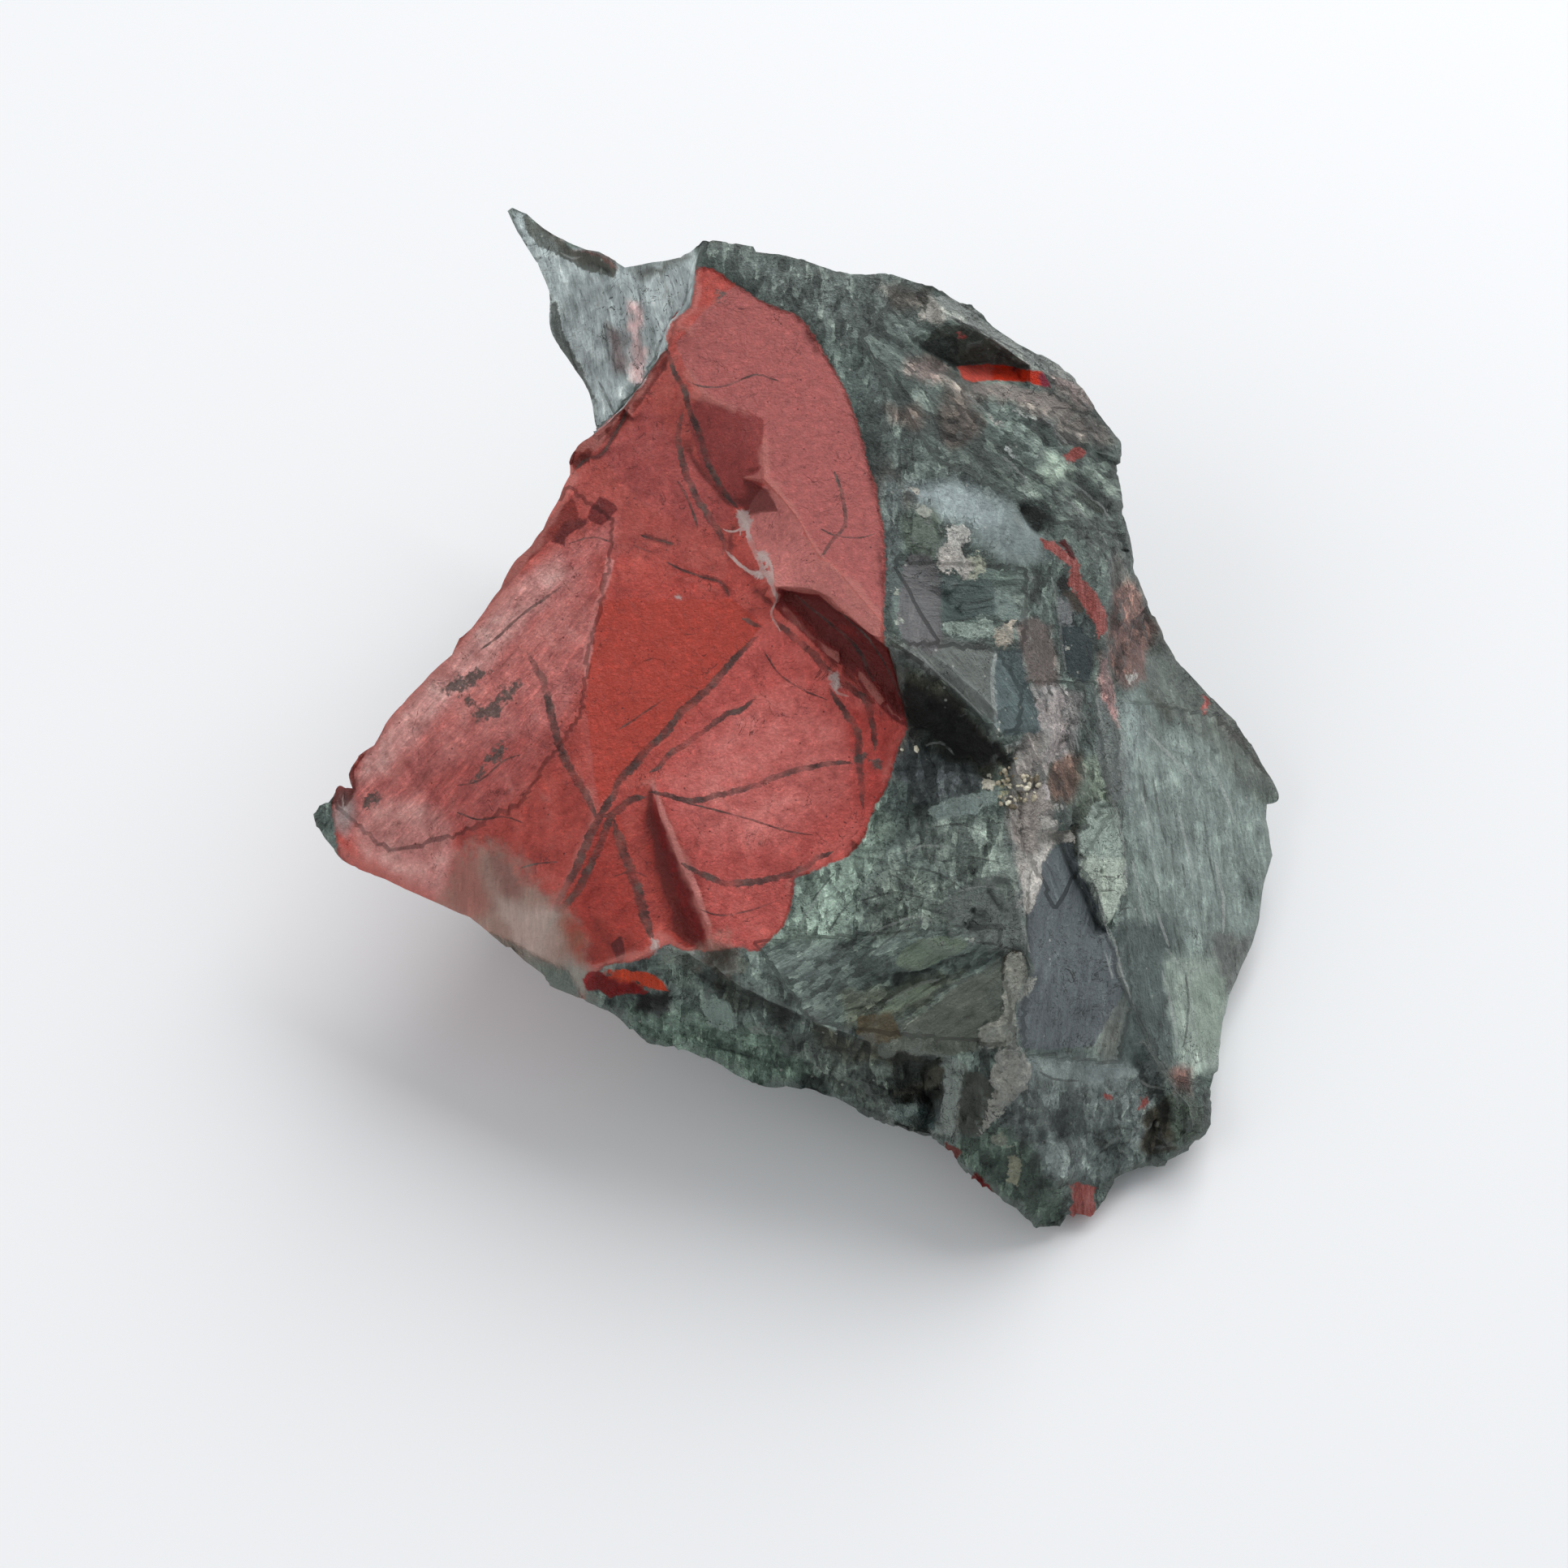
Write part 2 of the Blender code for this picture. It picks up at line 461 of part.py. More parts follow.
# The left side and the upright corner below the gap: their places on the plan of the sheets, and in
# millimetres.
SIDE_BELOW_THE_GAP = [
    ((661, 454), (-19.2, 40.0, 24.0)), ((717, 488), (-19.0, 39.4, 23.2)), ((763, 519), (-18.8, 38.4, 22.0)),
    ((775, 575), (-18.2, 40.2, 15.0)), ((778, 628), (-17.2, 41.8, 7.5)),
]
FRONT_OF_THAT_SIDE = [
    ((748, 572), (-18.6, 31.6, 29.0)), ((752, 622), (-18.8, 33.6, 18.5)),
]
CORNER_BELOW_THE_GAP = [
    ((676, 418), (-18.7, 44.6, 18.0)), ((740, 452), (-18.0, 46.8, 12.5)), ((790, 508), (-16.9, 48.2, 7.5)),
    ((806, 570), (-15.5, 49.4, 3.0)),
]

# The red jasper broke smooth, and the green rock broke rough: this is the border of the red patch.
RED_PATCH = [
    (854, 359), (858, 329), (888, 335), (939, 370), (978, 385), (1003, 412), (1030, 458), (1049, 500),
    (1072, 578), (1089, 648), (1090, 730), (1091, 804), (1119, 894), (1097, 957), (1083, 984), (1066, 1031),
    (1026, 1063), (979, 1082), (965, 1141), (925, 1173), (868, 1173), (809, 1160), (725, 1210), (560, 1130),
    (386, 1003), (481, 881), (600, 750), (684, 624), (736, 530), (813, 438),
]

STONE_GREEN = (0.115, 0.155, 0.148, 1.0)
STONE_ROUGHNESS = 0.55


def clear_scene():
    """Removes every object, so that the lump stands alone."""
    for thing in list(bpy.data.objects):
        bpy.data.objects.remove(thing, do_unlink=True)


def on_sight_line(across, down, height):
    """The point at this height on the sight line through a place in the photograph."""
    ray = FORWARD * FOCAL + RIGHTWARD * (across - CENTRE) + UPWARD * (CENTRE - down)
    return EYE + ray * ((height - EYE[2]) / ray[2])


def in_picture(points):
    """Where points lie in the photograph, across and down, with how near they are to the eye."""
    away = np.atleast_2d(points) - EYE
    nearness = 1.0 / (away @ FORWARD)
    across = CENTRE + FOCAL * (away @ RIGHTWARD) * nearness
    down = CENTRE - FOCAL * (away @ UPWARD) * nearness
    return np.column_stack([across, down, nearness])


def from_picture(seen):
    """The points that lie across, down and near as in_picture gives them."""
    depth = 1.0 / seen[:, 2:3]
    across = (seen[:, 0:1] - CENTRE) / FOCAL
    up = (CENTRE - seen[:, 1:2]) / FOCAL
    return EYE + depth * (FORWARD + RIGHTWARD * across + UPWARD * up)


def swung(flat):
    """A place on the plan of the sheets, with the wall swung open about the crown like a door."""
    pivot = np.array(CROWN[:2], float)
    turn = np.array([
        [math.cos(WALL_SWING), -math.sin(WALL_SWING)],
        [math.sin(WALL_SWING), math.cos(WALL_SWING)],
    ])
    return pivot + turn @ (np.asarray(flat, float) - pivot)


def seen_landmarks(line, wall=False):
    """(plan, point) of each landmark of a front line. The wall lies behind the flank, so it is swung."""
    marks = []
    for across, down, height in line:
        plan = swung((across, down)) if wall else np.array([across, down], float)
        marks.append((plan, on_sight_line(across, down, height)))
    return marks


def hidden_landmarks(line, wall=False):
    """(plan, point) of each landmark of a hidden line, which is given in millimetres."""
    marks = []
    for mark in line:
        point = np.array(mark, float)
        flat = in_picture(point)[0, :2]
        marks.append((swung(flat) if wall else flat, point))
    return marks


def drop_landmarks():
    """(plan, point) of the rim where it drops through the gap."""
    start = on_sight_line(*OUTLINE_OF_BODY[-1])
    end = on_sight_line(*OUTLINE_OF_WALL[0])
    return [(np.array([across, down], float), start + (end - start) * share)
            for across, down, share in DROP_OF_THE_RIM]


def stepped(marks, spacing, closed=False):
    """The landmarks of a line with more between them, no further apart than the spacing."""
    ends = marks[1:] + marks[:1] if closed else marks[1:]
    steps = []
    for (plan_a, point_a), (plan_b, point_b) in zip(marks, ends):
        reach = max(
            np.linalg.norm(point_b - point_a) / (2.0 * spacing),
            np.linalg.norm(plan_b - plan_a) * MM_PER_POINT / spacing,
        )
        count = max(1, math.ceil(reach))
        for step in range(count):
            share = step / count
            steps.append((plan_a + (plan_b - plan_a) * share, point_a + (point_b - point_a) * share))
    if not closed:
        steps.append(marks[-1])
    return steps


def inside(flats, loop):
    """Which flat points lie inside a closed loop."""
    found = np.zeros(len(flats), bool)
    for start, end in zip(loop, np.roll(loop, -1, axis=0)):
        crosses = (start[1] > flats[:, 1]) != (end[1] > flats[:, 1])
        rise = end[1] - start[1]
        at = start[0] + (flats[:, 1] - start[1]) * (end[0] - start[0]) / (rise if rise else 1.0)
        found ^= crosses & (flats[:, 0] < at)
    return found


def gap_to(flats, others):
    """Distance from each flat point to the nearest of the others."""
    return np.array([np.min(np.hypot(*(others - flat).T)) for flat in flats])


def spring_ends(plan, triangles):
    """The pairs of neighbours in a sheet, with how firmly each pair pulls together."""
    first, second, pull = [], [], []
    for corner in range(3):
        a = triangles[:, (corner + 1) % 3]
        b = triangles[:, (corner + 2) % 3]
        to_a = plan[a] - plan[triangles[:, corner]]
        to_b = plan[b] - plan[triangles[:, corner]]
        across = np.abs(to_a[:, 0] * to_b[:, 1] - to_a[:, 1] * to_b[:, 0])
        first += [a, b]
        second += [b, a]
        pull += [np.maximum((to_a * to_b).sum(1) / np.maximum(across, 1e-9), LEAST_PULL)] * 2
    return np.concatenate(first), np.concatenate(second), np.concatenate(pull)


def settle(values, springs, free, rounds):
    """Lets the free values settle evenly between their neighbours, as a stretched skin would."""
    first, second, pull = springs
    count = len(values)
    total = np.bincount(first, pull, count)
    for _ in range(rounds):
        for column in values.T:
            column[free] = (np.bincount(first, pull * column[second], count) / total)[free]


def sheet(outline, edges, swells, spacing, seed):
    """One sheet of rock inside the outline: its points, its triangles, and where the outline's points
    are among them. Edges stay crisp and swells are rounded. Lines that meet share a point."""
    plans = [plan for plan, _ in outline]
    points = [point for _, point in outline]
    crisp = [True] * len(plans)
    share_within = SHARED_WITHIN * spacing / MM_PER_POINT
    ties = []
    for line, is_edge in [(line, True) for line in edges] + [(line, False) for line in swells]:
        before = None
        for plan, point in line:
            gaps = np.hypot(*(np.array(plans) - plan).T)
            nearest = int(np.argmin(gaps))
            if gaps[nearest] > share_within:
                nearest = len(plans)
                plans.append(plan)
                points.append(point)
                crisp.append(is_edge)
            if before is not None and before != nearest:
                ties.append((before, nearest))
            before = nearest
    step = spacing / MM_PER_POINT
    loop = np.array([plan for plan, _ in outline])
    low = loop.min(0)
    high = loop.max(0)
    rows = np.arange(low[1], high[1], step * math.sqrt(0.75))
    field = []
    for number, down in enumerate(rows):
        acrosses = np.arange(low[0] + step * 0.5 * (number % 2), high[0], step)
        field.append(np.column_stack([acrosses, np.full(len(acrosses), down)]))
    field = np.concatenate(field)
    field += np.random.default_rng(seed).uniform(-FIELD_SHAKE, FIELD_SHAKE, field.shape) * step
    field = field[inside(field, loop)]
    field = field[gap_to(field, np.array(plans)) > FIELD_CLEARANCE * step]
    corners = [Vector(plan) for plan in plans] + [Vector(flat) for flat in field]
    made = delaunay_2d_cdt(corners, ties, [list(range(len(outline)))], 1, 1e-4)
    plan = np.array([tuple(corner) for corner in made[0]])
    triangles = np.array([tuple(face) for face in made[2]])
    values = np.zeros((len(plan), 3))
    values[:, 2] = in_picture(np.array(points))[:, 2].mean()
    known = np.zeros(len(plan), bool)
    held = np.zeros(len(plan), bool)
    place = {}
    for number, sources in enumerate(made[3]):
        for source in sources:
            place[source] = number
            if source < len(points) and not known[number]:
                values[number] = in_picture(points[source])[0] - [*plans[source], 0.0]
                known[number] = True
                held[number] = crisp[source]
    springs = spring_ends(plan, triangles)
    settle(values, springs, ~known, SETTLING_ROUNDS)
    settle(values, springs, ~held, ROUNDING_ROUNDS)
    values[:, :2] += plan
    return from_picture(values), triangles, [place[number] for number in range(len(outline))]


def thicken_tips(points, triangles, rim):
    """Cuts the lines that run across a sheet from rim to rim, and moves each cut toward the eye, so that
    the tips and corners of the lump have a thickness."""
    rim = set(rim)
    points = list(points)
    triangles = [tuple(triangle) for triangle in triangles]
    users = {}
    for triangle in triangles:
        for a, b in zip(triangle, triangle[1:] + triangle[:1]):
            users.setdefault((min(a, b), max(a, b)), []).append(triangle)
    for (a, b), pair in users.items():
        if len(pair) != 2 or a not in rim or b not in rim:
            continue
        middle = (points[a] + points[b]) / 2
        sight = middle - EYE
        points.append(middle - sight / np.linalg.norm(sight) * TIP_THICKNESS)
        cut = []
        for triangle in triangles:
            if a in triangle and b in triangle:
                cut.append(tuple(len(points) - 1 if corner == a else corner for corner in triangle))
                cut.append(tuple(len(points) - 1 if corner == b else corner for corner in triangle))
            else:
                cut.append(triangle)
        triangles = cut
    return np.array(points), np.array(triangles)


def keep_apart(hidden_points, own, seen_points, seen_triangles, rim_points):
    """Moves hidden points away from the eye wherever the rock would be thinner than it should be. The
    side below the gap runs along the sight lines, so it stays as it is."""
    gap_points = np.array([point for _, point in drop_landmarks()])
    skin = BVHTree.FromPolygons([Vector(point) for point in seen_points], seen_triangles.tolist())
    for number in own:
        point = hidden_points[number]
        reach = np.linalg.norm(point - EYE)
        sight = Vector((point - EYE) / reach)
        from_rim = np.linalg.norm(rim_points - point, axis=1).min()
        least = min(from_rim * THICKENING_FROM_RIM, LEAST_THICKNESS)
        if np.linalg.norm(gap_points - point, axis=1).min() < GAP_MARGIN:
            continue
        beyond = Vector(EYE) + sight * 2.0 * reach
        hit = skin.ray_cast(beyond, -sight)[0]
        if hit is not None and (hit - Vector(EYE)).length + least > reach:
            point[:] = hit + sight * least
            point[2] = max(point[2], 0.0)


def broken_planes(point, cell):
    """Height, from -1 to 1, of a surface broken into flat facets with sharp ridges between them."""
    _, seeds = noise.voronoi(point / cell)
    best = 1.0
    for seed in seeds:
        tilt = noise.cell_vector(seed * 31.7) * 2.0 - Vector((1.0, 1.0, 1.0))
        best = min(best, 0.45 + (point / cell - seed).dot(tilt) * 1.1)
    return max(best, -1.0)


def roughen(shape, rim):
    """Moves the corners out and in: little on the red jasper, more on the green, most where hidden. It
    fades out toward the rim, so that thin places stay whole."""
    shape.normal_update()
    corners = list(shape.verts)
    places = np.array([tuple(corner.co) for corner in corners])
    in_red = inside(in_picture(places)[:, :2], np.array(RED_PATCH, float))
    from_rim = np.array([np.linalg.norm(rim - place, axis=1).min() for place in places])
    moves = []
    for corner, red, away in zip(corners, in_red, from_rim):
        facing = corner.normal.dot((Vector(EYE) - corner.co).normalized())
        share = min(max(facing * 4.0 + 0.5, 0.0), 1.0)
        front = SMOOTH_RED_RELIEF if red else ROUGH_GREEN_RELIEF
        near = front * broken_planes(corner.co, FRONT_CELL) * min(away / SEEN_RELIEF_STARTS, 1.0)
        far = HIDDEN_RELIEF * broken_planes(corner.co, HIDDEN_CELL) * min(away / HIDDEN_RELIEF_STARTS, 1.0)
        moves.append(corner.normal * (share * near + (1.0 - share) * far))
    for corner, move in zip(corners, moves):
        if corner.co.z > LEAST_LIFT / 2:
            corner.co += move
            corner.co.z = max(corner.co.z, LEAST_LIFT)


def even_out(shape):
    """Cuts the longest lines in two until none is longer than the longest allowed."""
    for _ in range(4):
        long_lines = [line for line in shape.edges if line.calc_length() > LONGEST_LINE]
        if not long_lines:
            break
        bmesh.ops.subdivide_edges(shape, edges=long_lines, cuts=1)
        bmesh.ops.triangulate(shape, faces=[face for face in shape.faces if len(face.verts) > 3])


def lump():
    """The whole lump as a closed shape, in millimetres."""
    def seen(group, wall=False):
        return [stepped(seen_landmarks(line, wall), FRONT_POINT_SPACING) for line in group.values()]

    def hidden(group, wall=False):
        return [stepped(hidden_landmarks(line, wall), HIDDEN_POINT_SPACING) for line in group.values()]

    border = seen_landmarks(OUTLINE_OF_BODY) + drop_landmarks() + seen_landmarks(OUTLINE_OF_WALL, wall=True)
    outline = stepped(border, FRONT_POINT_SPACING, closed=True)
    front_edges = seen(WALL_EDGES, True) + seen(RED_EDGES) + seen(GREEN_EDGES)
    front_swells = seen(WALL_SWELLS, True) + seen(RED_SWELLS) + seen(GREEN_SWELLS)
    base_line = {"base": [(x, y, 0.0) for x, y in BASE + BASE[:1]]}
    side, side_front, corner = (
        [(np.array(plan, float), np.array(point)) for plan, point in line]
        for line in (SIDE_BELOW_THE_GAP, FRONT_OF_THAT_SIDE, CORNER_BELOW_THE_GAP)
    )
    corner = seen_landmarks(OUTLINE_OF_WALL[:1], True) + corner + hidden_landmarks([(-14.5, 50.0, 0.0)])
    back_edges = hidden(base_line) + [side, side_front, stepped(corner, HIDDEN_POINT_SPACING)]
    back_swells = hidden(HIDDEN_LINES)
    for group, wall in ((BEHIND_THE_WALL, True), (BEHIND_THE_FLANK, False)):
        back_swells += [stepped(seen_landmarks(line, wall), HIDDEN_POINT_SPACING) for line in group.values()]
    front = sheet(outline, front_edges, front_swells, FRONT_POINT_SPACING, 11)
    back = sheet(outline, back_edges, back_swells, HIDDEN_POINT_SPACING, 23)
    base = np.array([point[:2] for _, point in back_edges[0]])
    on_base = inside(back[0][:, :2], base) | (gap_to(back[0][:, :2], base) < 0.02)
    back[0][on_base & (back[0][:, 2] < LEAST_LIFT), 2] = 0.0
    front_points, front_triangles = thicken_tips(front[0], front[1], front[2])
    renumber = np.full(len(back[0]), -1)
    renumber[back[2]] = front[2]
    own = np.flatnonzero(renumber < 0)
    renumber[own] = len(front_points) + np.arange(len(own))
    rim_points = np.array([point for _, point in outline])
    keep_apart(back[0], own, front_points, front_triangles, rim_points)
    shape = bmesh.new()
    corners = [shape.verts.new(point) for point in np.concatenate([front_points, back[0][own]])]
    for triangle in np.concatenate([front_triangles, renumber[back[1]][:, ::-1]]):
        shape.faces.new([corners[number] for number in triangle])
    even_out(shape)
    bmesh.ops.recalc_face_normals(shape, faces=shape.faces)
    roughen(shape, rim_points)
    return shape


def stone_material():
    """Dull green jasper, the colour of most of the lump."""
    material = bpy.data.materials.new("stone_green")
    material.use_nodes = True
    shader = material.node_tree.nodes["Principled BSDF"]
    shader.inputs["Base Color"].default_value = STONE_GREEN
    shader.inputs["Roughness"].default_value = STONE_ROUGHNESS
    shader.inputs["Metallic"].default_value = 0.0
    return material


def build_stone():
    """The lump as one object, standing on its base with its footprint's middle at the origin."""
    shape = lump()
    places = np.array([tuple(corner.co) for corner in shape.verts])
    middle = (places.min(0) + places.max(0)) / 2
    for corner in shape.verts:
        corner.co = (corner.co - Vector((middle[0], middle[1], 0.0))) * MM
    mesh = bpy.data.meshes.new("bloodstone")
    shape.to_mesh(mesh)
    shape.free()
    mesh.materials.append(stone_material())
    stone = bpy.data.objects.new("bloodstone", mesh)
    bpy.context.scene.collection.objects.link(stone)
    return middle


def main():
    clear_scene()
    return build_stone()


if __name__ == "__main__":
    main()
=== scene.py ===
import math

import bmesh
import bpy
import numpy as np
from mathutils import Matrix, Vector
from mathutils.bvhtree import BVHTree


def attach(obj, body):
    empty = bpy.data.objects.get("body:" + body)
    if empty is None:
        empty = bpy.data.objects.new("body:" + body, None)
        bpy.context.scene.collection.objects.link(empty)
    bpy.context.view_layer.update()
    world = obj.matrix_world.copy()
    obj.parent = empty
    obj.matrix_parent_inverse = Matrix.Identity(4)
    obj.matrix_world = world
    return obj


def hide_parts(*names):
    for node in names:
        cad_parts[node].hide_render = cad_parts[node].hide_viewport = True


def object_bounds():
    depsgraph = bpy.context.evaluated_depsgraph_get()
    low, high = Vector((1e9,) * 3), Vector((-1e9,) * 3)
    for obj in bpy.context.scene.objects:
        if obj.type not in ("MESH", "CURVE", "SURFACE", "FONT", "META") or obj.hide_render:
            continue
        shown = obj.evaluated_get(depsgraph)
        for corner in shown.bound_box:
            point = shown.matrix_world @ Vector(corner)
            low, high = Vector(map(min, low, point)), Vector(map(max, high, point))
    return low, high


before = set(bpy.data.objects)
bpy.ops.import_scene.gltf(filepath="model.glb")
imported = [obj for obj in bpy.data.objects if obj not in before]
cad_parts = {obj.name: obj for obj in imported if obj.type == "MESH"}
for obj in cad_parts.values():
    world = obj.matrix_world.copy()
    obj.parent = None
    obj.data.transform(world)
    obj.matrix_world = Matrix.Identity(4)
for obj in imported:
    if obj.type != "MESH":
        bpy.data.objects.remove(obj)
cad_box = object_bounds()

# ---- The photographer's place ---------------------------------------------------------------
# The stone lay on a white table and was looked at from the front and above. The camera comes
# first, because the stone's markings are placed where they show in its square picture.
PICTURE_SIDE = 1932
VIEW_ANGLE = math.radians(30)
LOOKING_DOWN = math.radians(55)
AIM = Vector((-0.00278, -0.01218, 0.022))
EYE_DISTANCE = 0.27243
SENSOR = 36.0
NEAREST_SEEN = 0.01

sight = Vector((0, math.cos(LOOKING_DOWN), -math.sin(LOOKING_DOWN)))
eye = AIM - sight * EYE_DISTANCE
camera = bpy.data.objects.new("camera", bpy.data.cameras.new("camera"))
camera.data.sensor_width = SENSOR
camera.data.lens = SENSOR / 2 / math.tan(VIEW_ANGLE / 2)
camera.data.clip_start = NEAREST_SEEN
camera.location = eye
camera.rotation_euler = sight.to_track_quat("-Z", "Y").to_euler()
bpy.context.scene.collection.objects.link(camera)
bpy.context.scene.camera = camera
bpy.context.scene.view_settings.view_transform = "Standard"

# ---- The lump: its broken form ----------------------------------------------------------------
# One broken piece of green and red jasper, hard and fine-grained, so that it breaks in shell-like
# scoops with sharp ridges between them. The solid from the CAD frame is divided more finely, its
# ridges are kept crisp, and the small breaks, plates and crusts are worked into it.
MM = 1000.0  # millimetres in a metre; this section works in millimetres
PIXELS_PER_MM = 13.23
DOUBLED_WITHIN = 2e-6  # metres
FLAT_WITHIN = 1e-6
FOLDS_KEPT = math.radians(17)
SHARP_RIDGE = math.radians(38)
SEEN_WITHIN = 1.1
RED_DEPTH = 13.0
TINY = 1e-9


def corners_and_triangles(node):
    """The CAD solid's points in millimetres and its triangles, with the doubled points merged."""
    copy = bmesh.new()
    copy.from_mesh(node.data)
    bmesh.ops.remove_doubles(copy, verts=copy.verts, dist=DOUBLED_WITHIN)
    bmesh.ops.dissolve_degenerate(copy, edges=copy.edges, dist=FLAT_WITHIN)
    bmesh.ops.triangulate(copy, faces=copy.faces)
    copy.verts.index_update()
    points = np.array([v.co[:] for v in copy.verts]) * MM
    triangles = np.array([[v.index for v in f.verts] for f in copy.faces])
    copy.free()
    return points, triangles


def face_normals(points, triangles):
    """Each triangle's normal, at twice its area in length and at length 1."""
    a, b, c = (points[triangles[:, k]] for k in range(3))
    across = np.cross(b - a, c - a)
    return across, across / np.maximum(np.linalg.norm(across, axis=1), 1e-12)[:, None]


def point_normals(points, triangles):
    """Each point's normal, from the triangles around it."""
    weighted, _ = face_normals(points, triangles)
    total = np.zeros_like(points)
    for k in range(3):
        np.add.at(total, triangles[:, k], weighted)
    return total / np.maximum(np.linalg.norm(total, axis=1), 1e-12)[:, None]


def edges_of(triangles):
    """Each edge's two ends, each triangle's three edges, and each edge's two triangles and the
    two corners across from it."""
    ends = np.concatenate([triangles[:, [0, 1]], triangles[:, [1, 2]], triangles[:, [2, 0]]])
    across = np.concatenate([triangles[:, 2], triangles[:, 0], triangles[:, 1]])
    ends, which = np.unique(np.sort(ends, axis=1), axis=0, return_inverse=True)
    which = which.reshape(-1)
    order = np.argsort(which, kind="stable").reshape(-1, 2)
    return ends, which.reshape(3, -1).T, order % len(triangles), across[order]


def bends(points, triangles, sides):
    """The angle between the two triangles at each edge."""
    _, facing = face_normals(points, triangles)
    return np.arccos(np.clip((facing[sides[:, 0]] * facing[sides[:, 1]]).sum(1), -1, 1))


def divided(points, triangles):
    """One triangle becomes four. Gentle places are rounded by the weights of Loop's rule, and
    ridges stay where they are."""
    ends, edge_of, sides, across = edges_of(triangles)
    ridge = bends(points, triangles, sides) > FOLDS_KEPT
    a, b = points[ends[:, 0]], points[ends[:, 1]]
    middles = np.where(
        ridge[:, None], (a + b) / 2,
        (a + b) * 0.375 + (points[across[:, 0]] + points[across[:, 1]]) * 0.125,
    )
    number, total = np.zeros(len(points)), np.zeros_like(points)
    ridges, along = np.zeros(len(points)), np.zeros_like(points)
    for one, other in ((0, 1), (1, 0)):
        np.add.at(number, ends[:, one], 1)
        np.add.at(total, ends[:, one], points[ends[:, other]])
        np.add.at(ridges, ends[ridge, one], 1)
        np.add.at(along, ends[ridge, one], points[ends[ridge, other]])
    share = (3 / (8 * np.maximum(number, 3)))[:, None]
    moved = points * (1 - number[:, None] * share) + total * share
    moved = np.where((ridges == 2)[:, None], points * 0.75 + along * 0.125, moved)
    moved = np.where((ridges > 2)[:, None], points, moved)
    m = edge_of + len(points)
    t = triangles
    four = np.concatenate([
        np.stack([t[:, 0], m[:, 0], m[:, 2]], 1), np.stack([t[:, 1], m[:, 1], m[:, 0]], 1),
        np.stack([t[:, 2], m[:, 2], m[:, 1]], 1), np.stack([m[:, 0], m[:, 1], m[:, 2]], 1),
    ])
    return np.concatenate([moved, middles]), four


def chance(cell, seed):
    """A fixed number from 0 to 1 for each cell of a grid."""
    n = cell.astype(np.uint64)
    mixed = n[..., 0] * np.uint64(73856093) ^ n[..., 1] * np.uint64(19349663)
    mixed = mixed ^ n[..., 2] * np.uint64(83492791) ^ np.uint64(seed * 2654435761 % 2**32)
    for _ in range(2):
        mixed = (mixed ^ (mixed >> np.uint64(15))) * np.uint64(0x2C1B3C6D) & np.uint64(0xFFFFFFFF)
    mixed = mixed ^ (mixed >> np.uint64(13))
    return (mixed & np.uint64(0xFFFFFF)).astype(float) / 0xFFFFFF


GRID_START = 4096  # keeps the cells' numbers above 0


def swell(points, size, seed):
    """Smooth, aimless unevenness of the given size, from -1 to 1."""
    place = points / size + GRID_START
    low = np.floor(place)
    part = place - low
    part = part * part * (3 - 2 * part)
    result = np.zeros(len(points))
    for corner in np.ndindex(2, 2, 2):
        weight = np.prod(np.where(np.array(corner), part, 1 - part), axis=1)
        result += weight * chance(low + corner, seed)
    return result * 2 - 1


def scoops(points, size, seed, tilt=0.5):
    """Depths of shell-like scoops that meet in sharp ridges, about 0 to 1 of their size."""
    place = points / size + GRID_START
    low = np.floor(place)
    lowest = np.full(len(points), 1e9)
    for step in np.ndindex(3, 3, 3):
        cell = low + np.array(step) - 1
        jitter = np.stack([chance(cell, seed + k) for k in range(3)], 1)
        lean = np.stack([chance(cell, seed + 3 + k) for k in range(3)], 1) - 0.5
        away = place - cell - jitter
        height = (away**2).sum(1) + tilt * (away * lean).sum(1) + 0.35 * chance(cell, seed + 7)
        lowest = np.minimum(lowest, height)
    return lowest


def plates(points, size, seed):
    """Heights of flat leaning plates with a small step between each two, about -0.5 to 0.5."""
    place = points / size + GRID_START
    low = np.floor(place)
    nearest, height = np.full(len(points), 1e9), np.zeros(len(points))
    for step in np.ndindex(3, 3, 3):
        cell = low + np.array(step) - 1
        jitter = np.stack([chance(cell, seed + k) for k in range(3)], 1)
        lean = np.stack([chance(cell, seed + 3 + k) for k in range(3)], 1) - 0.5
        away = place - cell - jitter
        far = (away**2).sum(1)
        plate = (away * lean).sum(1) + 0.5 * (chance(cell, seed + 7) - 0.5)
        height = np.where(far < nearest, plate, height)
        nearest = np.minimum(nearest, far)
    return height


points, triangles = corners_and_triangles(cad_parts["bloodstone"])
for _ in range(2):
    points, triangles = divided(points, triangles)
ends, edge_of, sides, across = edges_of(triangles)


def averaged(values, times):
    """Each point's value evened out with its neighbours', some times over."""
    count = np.zeros(len(points))
    for one in (0, 1):
        np.add.at(count, ends[:, one], 1)
    for _ in range(times):
        total = np.zeros_like(values)
        np.add.at(total, ends[:, 0], values[ends[:, 1]])
        np.add.at(total, ends[:, 1], values[ends[:, 0]])
        mean = total / (count if values.ndim == 1 else count[:, None])
        values = values * 0.5 + mean * 0.5
    return values


def in_the_picture(points):
    """Where points show in the picture, across and down in its pixels."""
    away = points / MM - np.array(eye)
    far = away @ np.array(sight)
    up = np.array((0, math.sin(LOOKING_DOWN), math.cos(LOOKING_DOWN)))
    scale = PICTURE_SIDE / 2 / math.tan(VIEW_ANGLE / 2) / far
    middle = PICTURE_SIDE / 2
    return np.stack([middle + away[:, 0] * scale, middle - away @ up * scale], 1)


